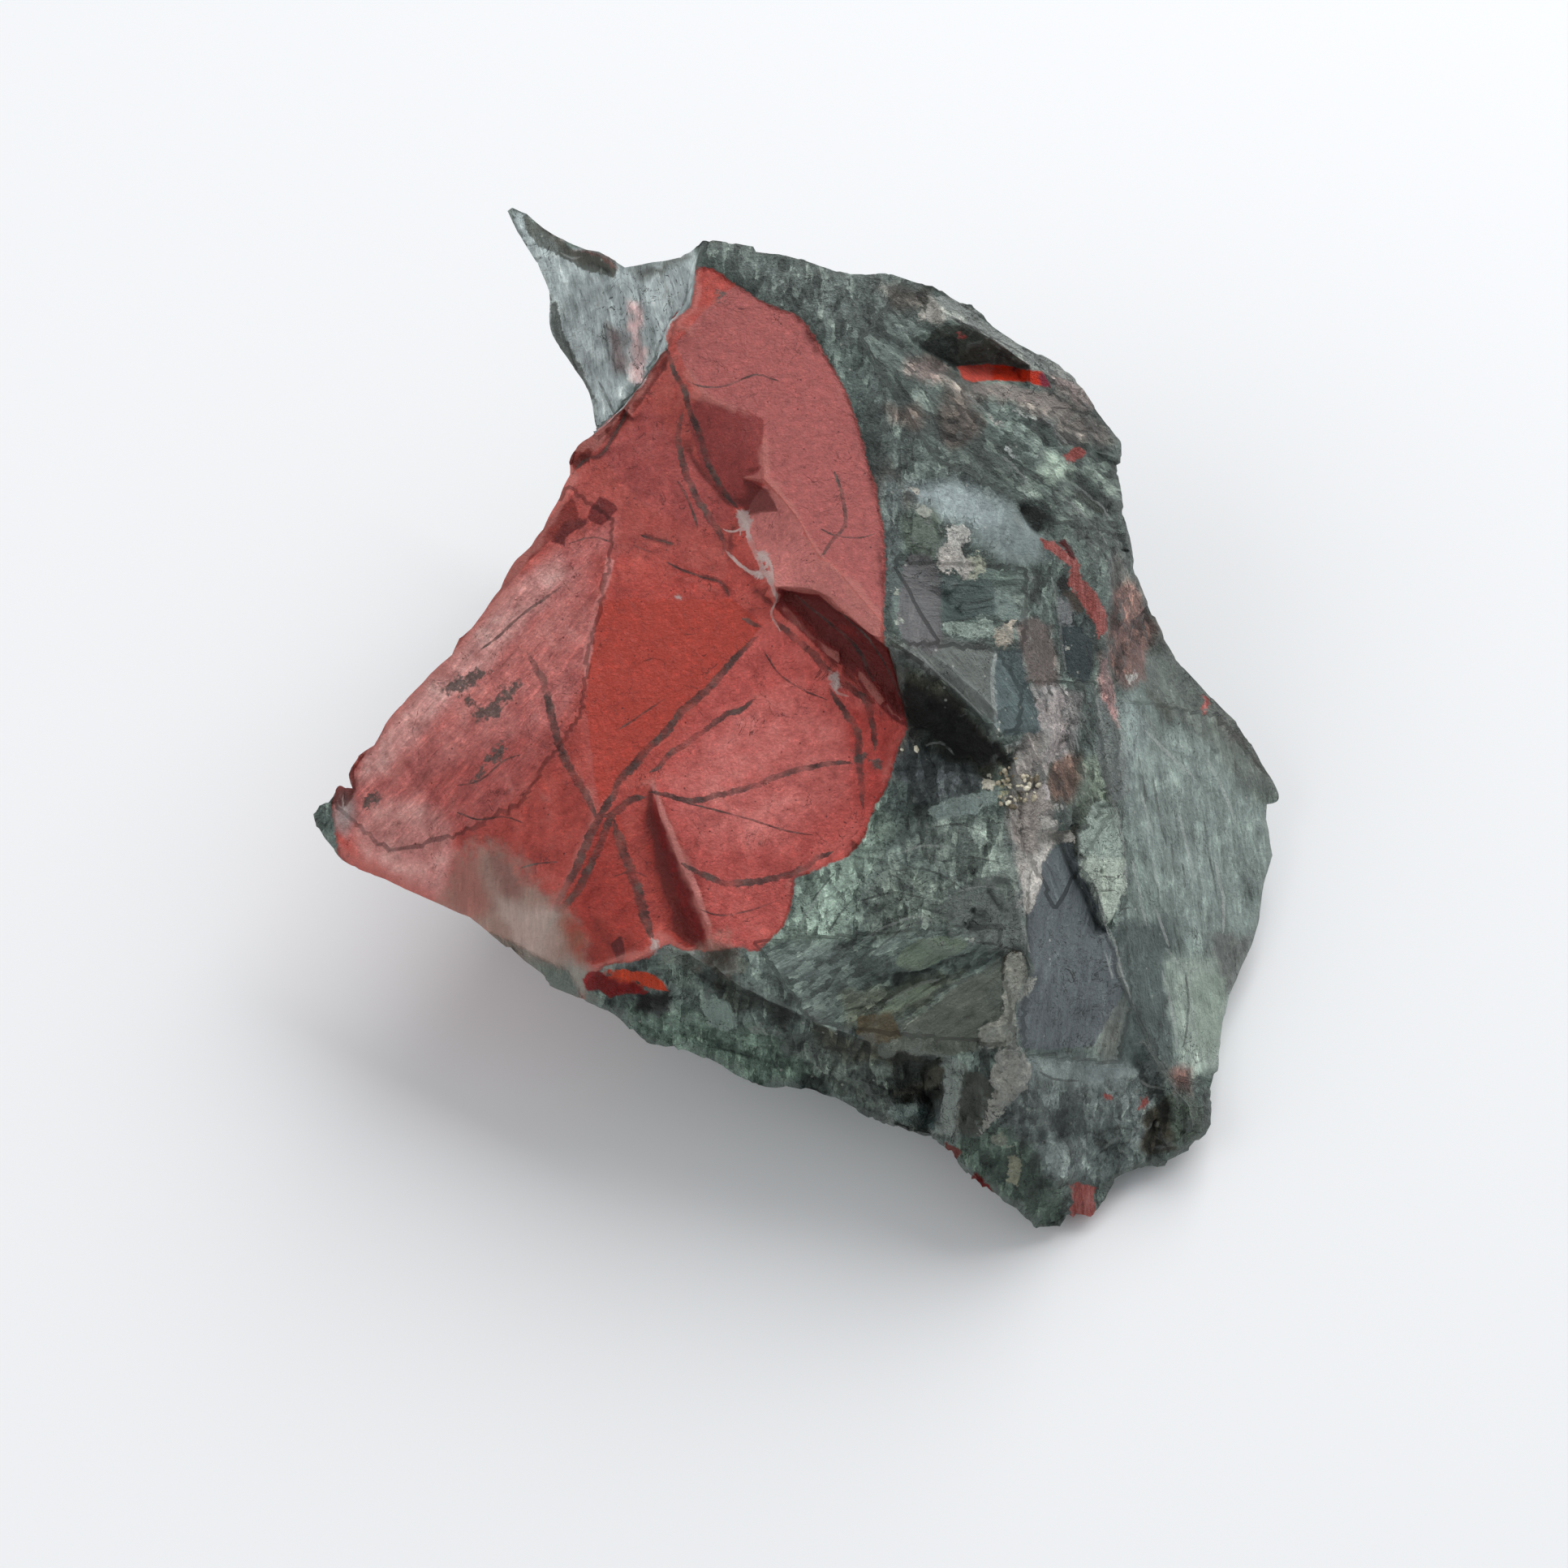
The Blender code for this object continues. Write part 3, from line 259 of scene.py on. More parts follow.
def behind_the_front(points, triangles):
    """How far each point lies behind the first surface that the eye meets, in millimetres."""
    tree = BVHTree.FromPolygons([tuple(p) for p in points], [tuple(map(int, t)) for t in triangles])
    start = eye * MM
    result = np.zeros(len(points))
    for k, point in enumerate(points):
        ray = Vector(point) - start
        reach = ray.length
        hit = tree.ray_cast(start, ray / reach)
        result[k] = max(0.0, reach - hit[3]) if hit[0] is not None else 0.0
    return result


def drawn(text):
    """Landmarks read off the picture, as 'across down, across down'."""
    return np.array([[float(n) for n in pair.split()] for pair in text.split(",")])


def flowing(line):
    """The same line with its corners eased, for things that grew or cracked in curves."""
    padded = np.vstack([2 * line[0] - line[1], line, 2 * line[-1] - line[-2]])
    eased = []
    for a, b, c, d in zip(padded[:-3], padded[1:-2], padded[2:-1], padded[3:]):
        for t in (0, 1 / 3, 2 / 3):
            eased.append(((2 * b) + (c - a) * t + (2 * a - 5 * b + 4 * c - d) * t**2
                          + (3 * b - a - 3 * c + d) * t**3) / 2)
    return np.vstack([eased, line[-1:]])


FAR_OFF = 90.0


def from_line(spots, line):
    """Each spot's distance from a drawn line, the same with a sign for the side that it lies on,
    and how far along the line its nearest place is, from 0 to 1."""
    distance, offset = np.full(len(spots), FAR_OFF), np.full(len(spots), FAR_OFF)
    along = np.zeros(len(spots))
    near = ((spots > line.min(0) - FAR_OFF) & (spots < line.max(0) + FAR_OFF)).all(1)
    spots = spots[near]
    best, signed, place = (np.full(len(spots), v) for v in (1e9, 1e9, 0.0))
    lengths = np.r_[0, np.cumsum(np.hypot(*(line[1:] - line[:-1]).T))]
    for k, (a, b) in enumerate(zip(line[:-1], line[1:])):
        run = b - a
        t = np.clip((spots - a) @ run / max(run @ run, TINY), 0, 1)
        away = spots - a - t[:, None] * run
        far = np.hypot(away[:, 0], away[:, 1])
        side = np.where(run[0] * (spots - a)[:, 1] - run[1] * (spots - a)[:, 0] < 0, -1.0, 1.0)
        nearer = far < best - TINY
        best = np.where(nearer, far, best)
        signed = np.where(nearer, far * side, signed)
        reached = lengths[k] + t * (lengths[k + 1] - lengths[k])
        place = np.where(nearer, reached / lengths[-1], place)
    distance[near], offset[near], along[near] = best, signed, place
    return np.minimum(distance, FAR_OFF), np.clip(offset, -FAR_OFF, FAR_OFF), along


def inside_of(spots, outline):
    """How many pixels inside a closed outline each spot lies; less than 0 outside it."""
    closed = np.vstack([outline, outline[:1]])
    distance, _, _ = from_line(spots, closed)
    within = np.zeros(len(spots), bool)
    for a, b in zip(closed[:-1], closed[1:]):
        if a[1] == b[1]:
            continue
        crosses = (a[1] > spots[:, 1]) != (b[1] > spots[:, 1])
        crossing = a[0] + (spots[:, 1] - a[1]) * (b[0] - a[0]) / (b[1] - a[1])
        within ^= crosses & (spots[:, 0] < crossing)
    return np.where(within, distance, -distance)


def eased(value, low, high):
    """0 below low, 1 above high, and a soft step between."""
    t = np.clip((value - low) / (high - low), 0, 1)
    return t * t * (3 - 2 * t)


depth = behind_the_front(points, triangles)
seen = (depth < SEEN_WITHIN).astype(float)
for _ in range(3):  # a few points over each seen edge take the same markings
    wider = seen.copy()
    np.maximum.at(wider, ends[:, 0], seen[ends[:, 1]])
    np.maximum.at(wider, ends[:, 1], seen[ends[:, 0]])
    seen = wider
seen = seen > 0
spots = in_the_picture(points)


def swayed(size, *seeds):
    """One run of unevenness for each seed, side by side."""
    return np.stack([swell(points, size, seed) for seed in seeds], 1)


fretted = spots + 7 * swayed(2.4, 71, 72) + 5 * swayed(1.0, 73, 74)


def within(*outlines, places=spots):
    """The seen points' pixels inside the nearest of some outlines, given as text."""
    result = np.full(len(points), -FAR_OFF)
    for text in outlines:
        result[seen] = np.maximum(result[seen], inside_of(places[seen], drawn(text)))
    return result


def broken_within(*outlines):
    """The same, with outlines that the stone's own unevenness frets."""
    return within(*outlines, places=fretted)


# The red jasper is a thick patch in the lump, not a skin, so it reaches down behind what shows.
red_outline = (
    "858 329, 873 329, 888 335, 898 345, 920 358, 939 370, 959 380, 978 385, 991 396, 1003 412,"
    "1014 433, 1030 458, 1042 479, 1049 500, 1058 525, 1065 552, 1072 578, 1079 598, 1083 622,"
    "1089 648, 1091 677, 1091 700, 1090 730, 1088 755, 1089 781, 1091 804, 1099 831, 1107 859,"
    "1113 879, 1119 894, 1115 907, 1108 920, 1103 936, 1097 957, 1089 978, 1080 990, 1070 1015,"
    "1066 1031, 1053 1047, 1042 1058, 1026 1063, 1009 1071, 991 1078, 979 1082, 977 1102, 973 1123,"
    "965 1141, 950 1157, 936 1171, 925 1173, 912 1166, 890 1172, 868 1173, 860 1170, 844 1173,"
    "822 1162, 800 1180, 780 1185, 745 1190, 725 1210, 720 1240, 710 1216, 698 1196, 672 1186,"
    "640 1168, 604 1150, 584 1156, 556 1150, 500 1120, 440 1078, 418 1052, 412 1020, 408 992,"
    "414 960, 425 930, 465 865, 555 765, 585 730, 635 675, 675 600, 695 560, 715 530, 736 526,"
    "749 518, 761 508, 769 502, 784 479, 791 475, 800 454, 813 437, 822 429, 820 413, 826 399,"
    "839 387, 852 376, 854 359, 856 340"
)
buried = eased(depth, 1.0, 4.0)  # where nobody saw it, its edge wanders
wandering = spots + buried[:, None] * (45 * swayed(7.0, 75, 76) + 16 * swayed(2.2, 77, 78))
red_jasper = inside_of(wandering, drawn(red_outline))
reach = RED_DEPTH + 4 * swell(points, 6.0, 79) + 1.5 * swell(points, 2.2, 80)
red_jasper = np.minimum(red_jasper, (reach - depth) * PIXELS_PER_MM)
red = eased(red_jasper, -6, 6)

# Faces that broke clean and smooth in the green stone.
smooth_green = within(
    "1315 1032, 1345 1090, 1357 1128, 1371 1163, 1380 1200, 1393 1235, 1425 1310, 1350 1340,"
    "1275 1330, 1262 1250, 1275 1200, 1266 1166, 1268 1120, 1256 1074, 1285 1040",
    "1400 790, 1440 800, 1500 870, 1590 985, 1580 1060, 1550 1160, 1530 1240, 1500 1320, 1440 1320,"
    "1393 1235, 1371 1163, 1385 1080, 1388 1000, 1378 925, 1385 850",
    "1115 600, 1180 590, 1240 610, 1285 650, 1290 690, 1250 700, 1215 680, 1190 645, 1150 640",
    "1098 690, 1140 700, 1165 740, 1160 790, 1120 800, 1095 770",
    "1100 795, 1165 790, 1228 795, 1290 895, 1230 905, 1155 828",
    "600 240, 870 300, 852 376, 822 429, 769 502, 736 540, 690 460",
)
smooth = np.maximum(red, eased(smooth_green, -15, 15))

# How deep or high each kind of break is, in millimetres.
SCOOP_DEPTH = 0.45
PLATE_HEIGHT = 0.75
SMALL_PLATE_HEIGHT = 0.50
CLEAN_SCOOP_DEPTH = 0.20
CLEAN_PLATE_HEIGHT = 0.14
RED_SCOOP_DEPTH = 0.30
RIPPLE_DEPTH = 0.26
WEDGE_DEPTH = 1.3
FLAKE_DEPTH = 0.55
FROSTING = 0.03
GRIT_HEIGHT = 0.02
LINE_DEPTH = 0.14
CRUST_HEIGHT = 0.28
TONGUE_HEIGHT = 0.25
CRUST_GRAIN = 0.12

normals = point_normals(points, triangles)
relief = np.zeros(len(points))
rough_part = 1 - smooth
wavering = points + 0.7 * swayed(1.6, 31, 32, 33)
coarse_part = rough_part * (0.6 + 0.4 * swell(points, 8.0, 35))
relief += rough_part * SCOOP_DEPTH * (scoops(points, 6.2, 11, 1.6) - 0.35)
relief += coarse_part * PLATE_HEIGHT * plates(wavering * (1, 0.75, 1.3), 4.2, 37)
relief += coarse_part * SMALL_PLATE_HEIGHT * plates(wavering * (1.2, 0.8, 1), 2.0, 47)
relief += smooth * (1 - red) * CLEAN_SCOOP_DEPTH * (scoops(points, 4.4, 41) - 0.45)
relief += smooth * (1 - red) * CLEAN_PLATE_HEIGHT * plates(wavering, 3.0, 43)
relief += red * RED_SCOOP_DEPTH * (scoops(points, 8.5, 53, 1.3) - 0.45)
rippled = eased(within(
    "405 990, 440 925, 520 880, 640 880, 720 930, 735 1000, 700 1100, 560 1060, 480 1080"), -30, 20)
relief += rippled * RIPPLE_DEPTH * (scoops(points * (1.25, 0.8, 1), 3.4, 57, 1.3) - 0.4)
wedge = within("955 723, 1010 728, 1042 754, 1088 789, 1104 800, 1125 896, 1097 882, 1056 836,"
    "1001 794, 955 746")
relief -= WEDGE_DEPTH * eased(wedge, 0, 16)
rim, _, _ = from_line(spots, drawn(
    "412 985, 430 935, 470 870, 560 770, 590 735, 640 680, 680 600, 700 560, 736 526, 784 479,"
    "822 430"))
flaking = red * eased(rim, 26, 4)
relief -= flaking * FLAKE_DEPTH * (scoops(points, 2.6, 59, 1.6) - 0.1)
relief += red * FROSTING * swell(points, 1.1, 61) + GRIT_HEIGHT * swell(points, 0.5, 67)


def sunk(line_text, half_width, deepest):
    """A groove along a drawn line, half_width in pixels and deepest in millimetres."""
    distance, _, along = from_line(spots[seen], flowing(drawn(line_text)))
    ease = np.minimum(1, np.minimum(along, 1 - along) * 8)
    relief[seen] -= deepest * ease * np.exp(-((distance / half_width) ** 2))


def stepped_up(outline_text, height, slope=5.0):
    """A plate or crust that stands up from its surroundings, with a steep edge."""
    inside = broken_within(outline_text)
    relief[:] += height * eased(inside, -slope / 2, slope / 2)


for line in (
    "775 500, 770 512, 751 545, 740 560, 719 567, 704 584",
    "821 692, 842 702, 867 711, 888 717, 899 737",
    "787 658, 810 664, 831 670",
    "1079 1160, 1107 1140, 1136 1131, 1170 1140, 1199 1157, 1245 1169",
):
    sunk(line, 5, LINE_DEPTH)
for line, half_width, deepest in (
    ("1087 1206, 1136 1203, 1176 1183, 1222 1169", 10, 0.6),
    ("1118 894, 1146 920, 1178 932, 1207 955", 9, 0.5),
    ("1400 780, 1440 830, 1500 895, 1560 960", 14, 0.35),
    ("1262 618, 1275 640, 1290 648", 10, 0.7),
    ("873 1198, 890 1205, 905 1210", 7, 0.7),
    ("809 1165, 845 1181, 880 1207, 931 1235, 985 1261, 1026 1280, 1096 1306", 8, 0.55),
):
    sunk(line, half_width, deepest)
pale_crusts = (
    "1157 678, 1168 662, 1172 650, 1182 646, 1189 652, 1190 668, 1196 676, 1212 690, 1218 702,"
    "1212 712, 1196 706, 1180 704, 1160 702",
    "1163 770, 1180 768, 1195 785, 1205 793, 1225 790, 1236 797, 1245 797, 1250 780, 1257 768,"
    "1240 765, 1228 778",
    "1208 1275, 1225 1262, 1250 1255, 1253 1285, 1262 1300, 1265 1318, 1258 1340, 1250 1350,"
    "1235 1360, 1222 1340",
    "1127 595, 1137 603, 1132 615, 1122 608",
    "1128 628, 1140 624, 1146 634, 1136 642",
)
pale_tongue = (
    "1330 1012, 1345 1008, 1375 1000, 1380 1020, 1384 1040, 1385 1080, 1388 1095, 1378 1115,"
    "1372 1130, 1366 1140, 1358 1128, 1350 1110, 1345 1090, 1337 1084, 1330 1075, 1325 1060,"
    "1332 1050, 1328 1038, 1326 1020"
)
for outline in pale_crusts[:3]:
    stepped_up(outline, CRUST_HEIGHT)
crusted = eased(broken_within(*pale_crusts), -4, 6)
relief += crusted * CRUST_GRAIN * swell(points, 0.7, 91)
stepped_up(pale_tongue, TONGUE_HEIGHT)

points = points + normals * relief[:, None]
CAD_LOW, CAD_HIGH = (np.array(corner) * MM for corner in cad_box)
points = np.clip(points, CAD_LOW, CAD_HIGH)

# Hollows get painted shade; proud places are painted paler, as wear and as a painted highlight.
hollow = ((averaged(points, 6) - points) * point_normals(points, triangles)).sum(1)

lump = bpy.data.meshes.new("bloodstone_lump")
lump.from_pydata((points / MM).tolist(), [], triangles.tolist())
lump.update()
lump.polygons.foreach_set("use_smooth", np.ones(len(triangles), bool))
ridges = (bends(points, triangles, sides) > SHARP_RIDGE).tolist()
ridge_of = {(a, b): sharp for (a, b), sharp in zip(ends.tolist(), ridges)}
mesh_ends = np.empty(len(lump.edges) * 2, np.int32)
lump.edges.foreach_get("vertices", mesh_ends)
mesh_ends = np.sort(mesh_ends.reshape(-1, 2), axis=1)
sharp_edges = lump.attributes.new("sharp_edge", "BOOLEAN", "EDGE")
sharp_edges.data.foreach_set("value", [ridge_of[a, b] for a, b in mesh_ends.tolist()])


def marked(name, values):
    """Keeps a marking on the mesh, for the material to read."""
    kind, held = ("FLOAT", "value") if values.ndim == 1 else ("FLOAT_VECTOR", "vector")
    made = lump.attributes.new(name, kind, "POINT")
    made.data.foreach_set(held, values.astype(np.float32).reshape(-1))


marked("red_jasper", red_jasper)
marked("hollow", hollow)
marked("smooth_face", smooth)

# ---- The dark veins -------------------------------------------------------------------------
# Thin seams of grey-brown chalcedony that cross the red jasper, each widest in its middle. They
# lie in layers, so that two that cross don't blot each other out.
VEIN_LAYERS = (
    (
        (5.0, "822 432, 830 457, 843 478, 850 505, 862 535, 870 564, 883 592, 899 615, 909 626"),
        (6.5, "651 807, 659 821, 671 844, 678 876, 685 904, 694 932, 707 954, 721 979, 728 992,"
            "735 1008"),
        (8.5, "757 1015, 761 1031, 771 1056, 780 1084, 790 1111, 797 1139, 803 1155"),
        (5.0, "803 976, 824 980, 852 987, 881 980, 897 977, 932 967, 959 956, 989 947, 1024 941,"
            "1047 940"),
        (5.5, "842 1065, 859 1074, 893 1088, 932 1086, 966 1079, 989 1070, 1005 1058, 1024 1051"),
        (3.4, "1028 582, 1035 600, 1040 621, 1042 643, 1037 654, 1024 668, 1013 684"),
    ),
    (
        (5.5, "840 512, 835 540, 838 558, 842 573, 850 596, 860 617, 872 635, 883 651, 893 670,"
            "891 679"),
        (6.5, "930 786, 897 820, 884 836, 861 859, 840 875, 822 900, 797 923, 780 944, 764 960,"
            "755 980, 744 999, 737 1010, 730 1022, 718 1049, 707 1077, 695 1097, 683 1125"),
        (6.0, "1024 852, 1040 875, 1056 902, 1058 928, 1060 953, 1062 976, 1063 992"),
    ),
    (
        (2.2, "835 592, 849 619, 860 651"),
        (5.0, "803 950, 810 946, 826 928, 842 918, 861 904, 886 886, 897 878, 911 876, 927 863"),
        (6.5, "765 996, 755 1004, 748 1017, 739 1042, 725 1070, 714 1093, 700 1111, 688 1123,"
            "675 1143"),
        (6.0, "955 765, 978 785, 1001 804, 1015 820, 1040 842, 1065 861, 1074 884, 1077 905,"
            "1078 921"),
    ),
    (
        (5.5, "744 1006, 760 999, 776 985, 792 983"),
        (1.6, "840 988, 893 1001, 932 1012, 969 1024, 1001 1029"),
        (1.8, "787 658, 810 664, 831 670"),
        (1.8, "821 692, 842 702, 867 711, 888 717, 899 737"),
        (2.2, "775 500, 770 512, 751 545, 740 560, 719 567, 704 584"),
        (1.5, "780 671, 790 676, 805 680"),
        (3.5, "915 762, 926 768, 938 772"),
        (2.2, "592 800, 616 782, 640 760, 668 740, 692 722"),
        (1.6, "700 670, 718 664, 736 662, 752 668"), (1.6, "560 968, 590 962, 620 938, 640 930"),
        (1.5, "756 1080, 780 1074, 800 1082"), (1.5, "640 1070, 664 1064, 690 1062"),
        (1.6, "846 470, 872 478, 900 474, 930 462, 960 470"),
        (1.4, "1010 650, 1030 660, 1060 662, 1082 656"),
        (1.4, "860 1120, 890 1128, 930 1120, 962 1108"),
        (1.6, "940 800, 960 830, 990 850, 1020 862"),
        (2.4, "972 736, 1004 764, 1040 798, 1072 842"),
        (2.0, "1008 738, 1044 776, 1082 822, 1106 866"),
        (1.5, "760 900, 790 880, 820 860"), (1.5, "560 1000, 590 1010, 620 1006, 650 1016"),
    ),
)


THINNEST = 0.35  # a seam's width at its ends, as a share of its middle's


def seams_marked(name, lines):
    """For each point, how far it lies from the nearest of some lines, counted in their widths."""
    layer = np.full((len(points), 3), FAR_OFF)
    layer[:, 2] = 0
    for half_width, text in lines:
        distance, offset, along = from_line(spots[seen], flowing(drawn(text)))
        from_end = np.minimum(1, np.minimum(along, 1 - along) * 6)
        width = half_width * (THINNEST + (1 - THINNEST) * np.sqrt(from_end))
        better = distance / width < np.abs(layer[seen, 0])
        chosen = np.flatnonzero(seen)[better]
        layer[chosen, 0] = (offset / width)[better]
        layer[chosen, 1] = (distance / width)[better]
        layer[chosen, 2] = 1
    layer[:, :2] = np.clip(layer[:, :2], -30, 30)
    marked(name, layer)


for number, veins in enumerate(VEIN_LAYERS, 1):
    seams_marked(f"dark_veins_{number}", veins)
seams_marked("white_quartz_line", (
    (4.2, "910 630, 919 644, 922 660, 930 680, 939 700, 948 716, 957 738"),
    (2.6, "940 702, 926 706, 910 694, 895 679"), (2.4, "930 680, 944 687, 950 700, 953 730"),
    (2.0, "958 738, 950 756, 962 778"), (1.6, "920 645, 905 655, 890 652"),
    (2.2, "1022 830, 1032 838, 1030 852, 1046 858"), (1.6, "803 1156, 810 1166, 806 1180"),
))

dark_blots = broken_within(
    "566 852, 578 854, 588 868, 600 872, 612 862, 622 850, 640 842, 647 845, 634 858, 618 868,"
    "612 882, 598 892, 586 888, 590 878, 578 868",
    "538 848, 560 836, 590 820, 606 825, 586 838, 560 850",
    "446 984, 462 977, 471 980, 467 991, 450 995",
    "602 924, 616 914, 623 918, 612 932, 598 940, 586 955, 578 958, 590 938",
    "1046 925, 1060 918, 1068 932, 1056 942, 1046 936",
    "1074 932, 1088 930, 1086 948, 1074 948",
    "874 360, 884 358, 890 366, 878 369",
)
marked("dark_blots", dark_blots)

# ---- The tones of the stone -----------------------------------------------------------------
# Each break has its own colour, and its tone also holds painted sheen where it caught the light and
# painted shade where it turned away or sank. The green stone drifts from dark teal to mint, brown
# and lilac grey, and the faces of the red patch from pink to deep red.
WHITE_VEIL = 0.013  # the share of white light that the surface adds by its gloss
LIGHT_LOST = 1.02  # what the lamps leave short of full light on a level face
DARKEST_DYE = 0.004


def dye(red, green, blue):
    """A base colour from the 0 to 255 values that the finished surface should show."""
    shown = np.array((red, green, blue)) / 255
    linear = np.where(shown < 0.04045, shown / 12.92, ((shown + 0.055) / 1.055) ** 2.4)
    return np.maximum(linear * LIGHT_LOST - WHITE_VEIL, DARKEST_DYE)


def toned(ground, places, zones):
    """A ground colour with soft-edged zones of other colours over it."""
    colours = ground.copy()
    for colour, softness, text in zones:
        share = np.zeros(len(points))
        share[seen] = eased(inside_of(places[seen], drawn(text)), -softness, softness)
        colours += share[:, None] * (dye(*colour) - colours)
    return colours


def clean_faces(name, zones, fretting=0.3):
    """Zones with clean edges: how far inside the nearest one each point is, and its colour."""
    places = spots + fretting * (fretted - spots)
    edge, colours = np.full(len(points), -FAR_OFF), np.zeros((len(points), 3))
    for colour, text in zones:
        inside = np.full(len(points), -FAR_OFF)
        inside[seen] = inside_of(places[seen], drawn(text))
        colours[inside > edge] = dye(*colour)
        edge = np.maximum(edge, inside)
    marked(name + "_edge", edge)
    marked(name + "_tone", colours)


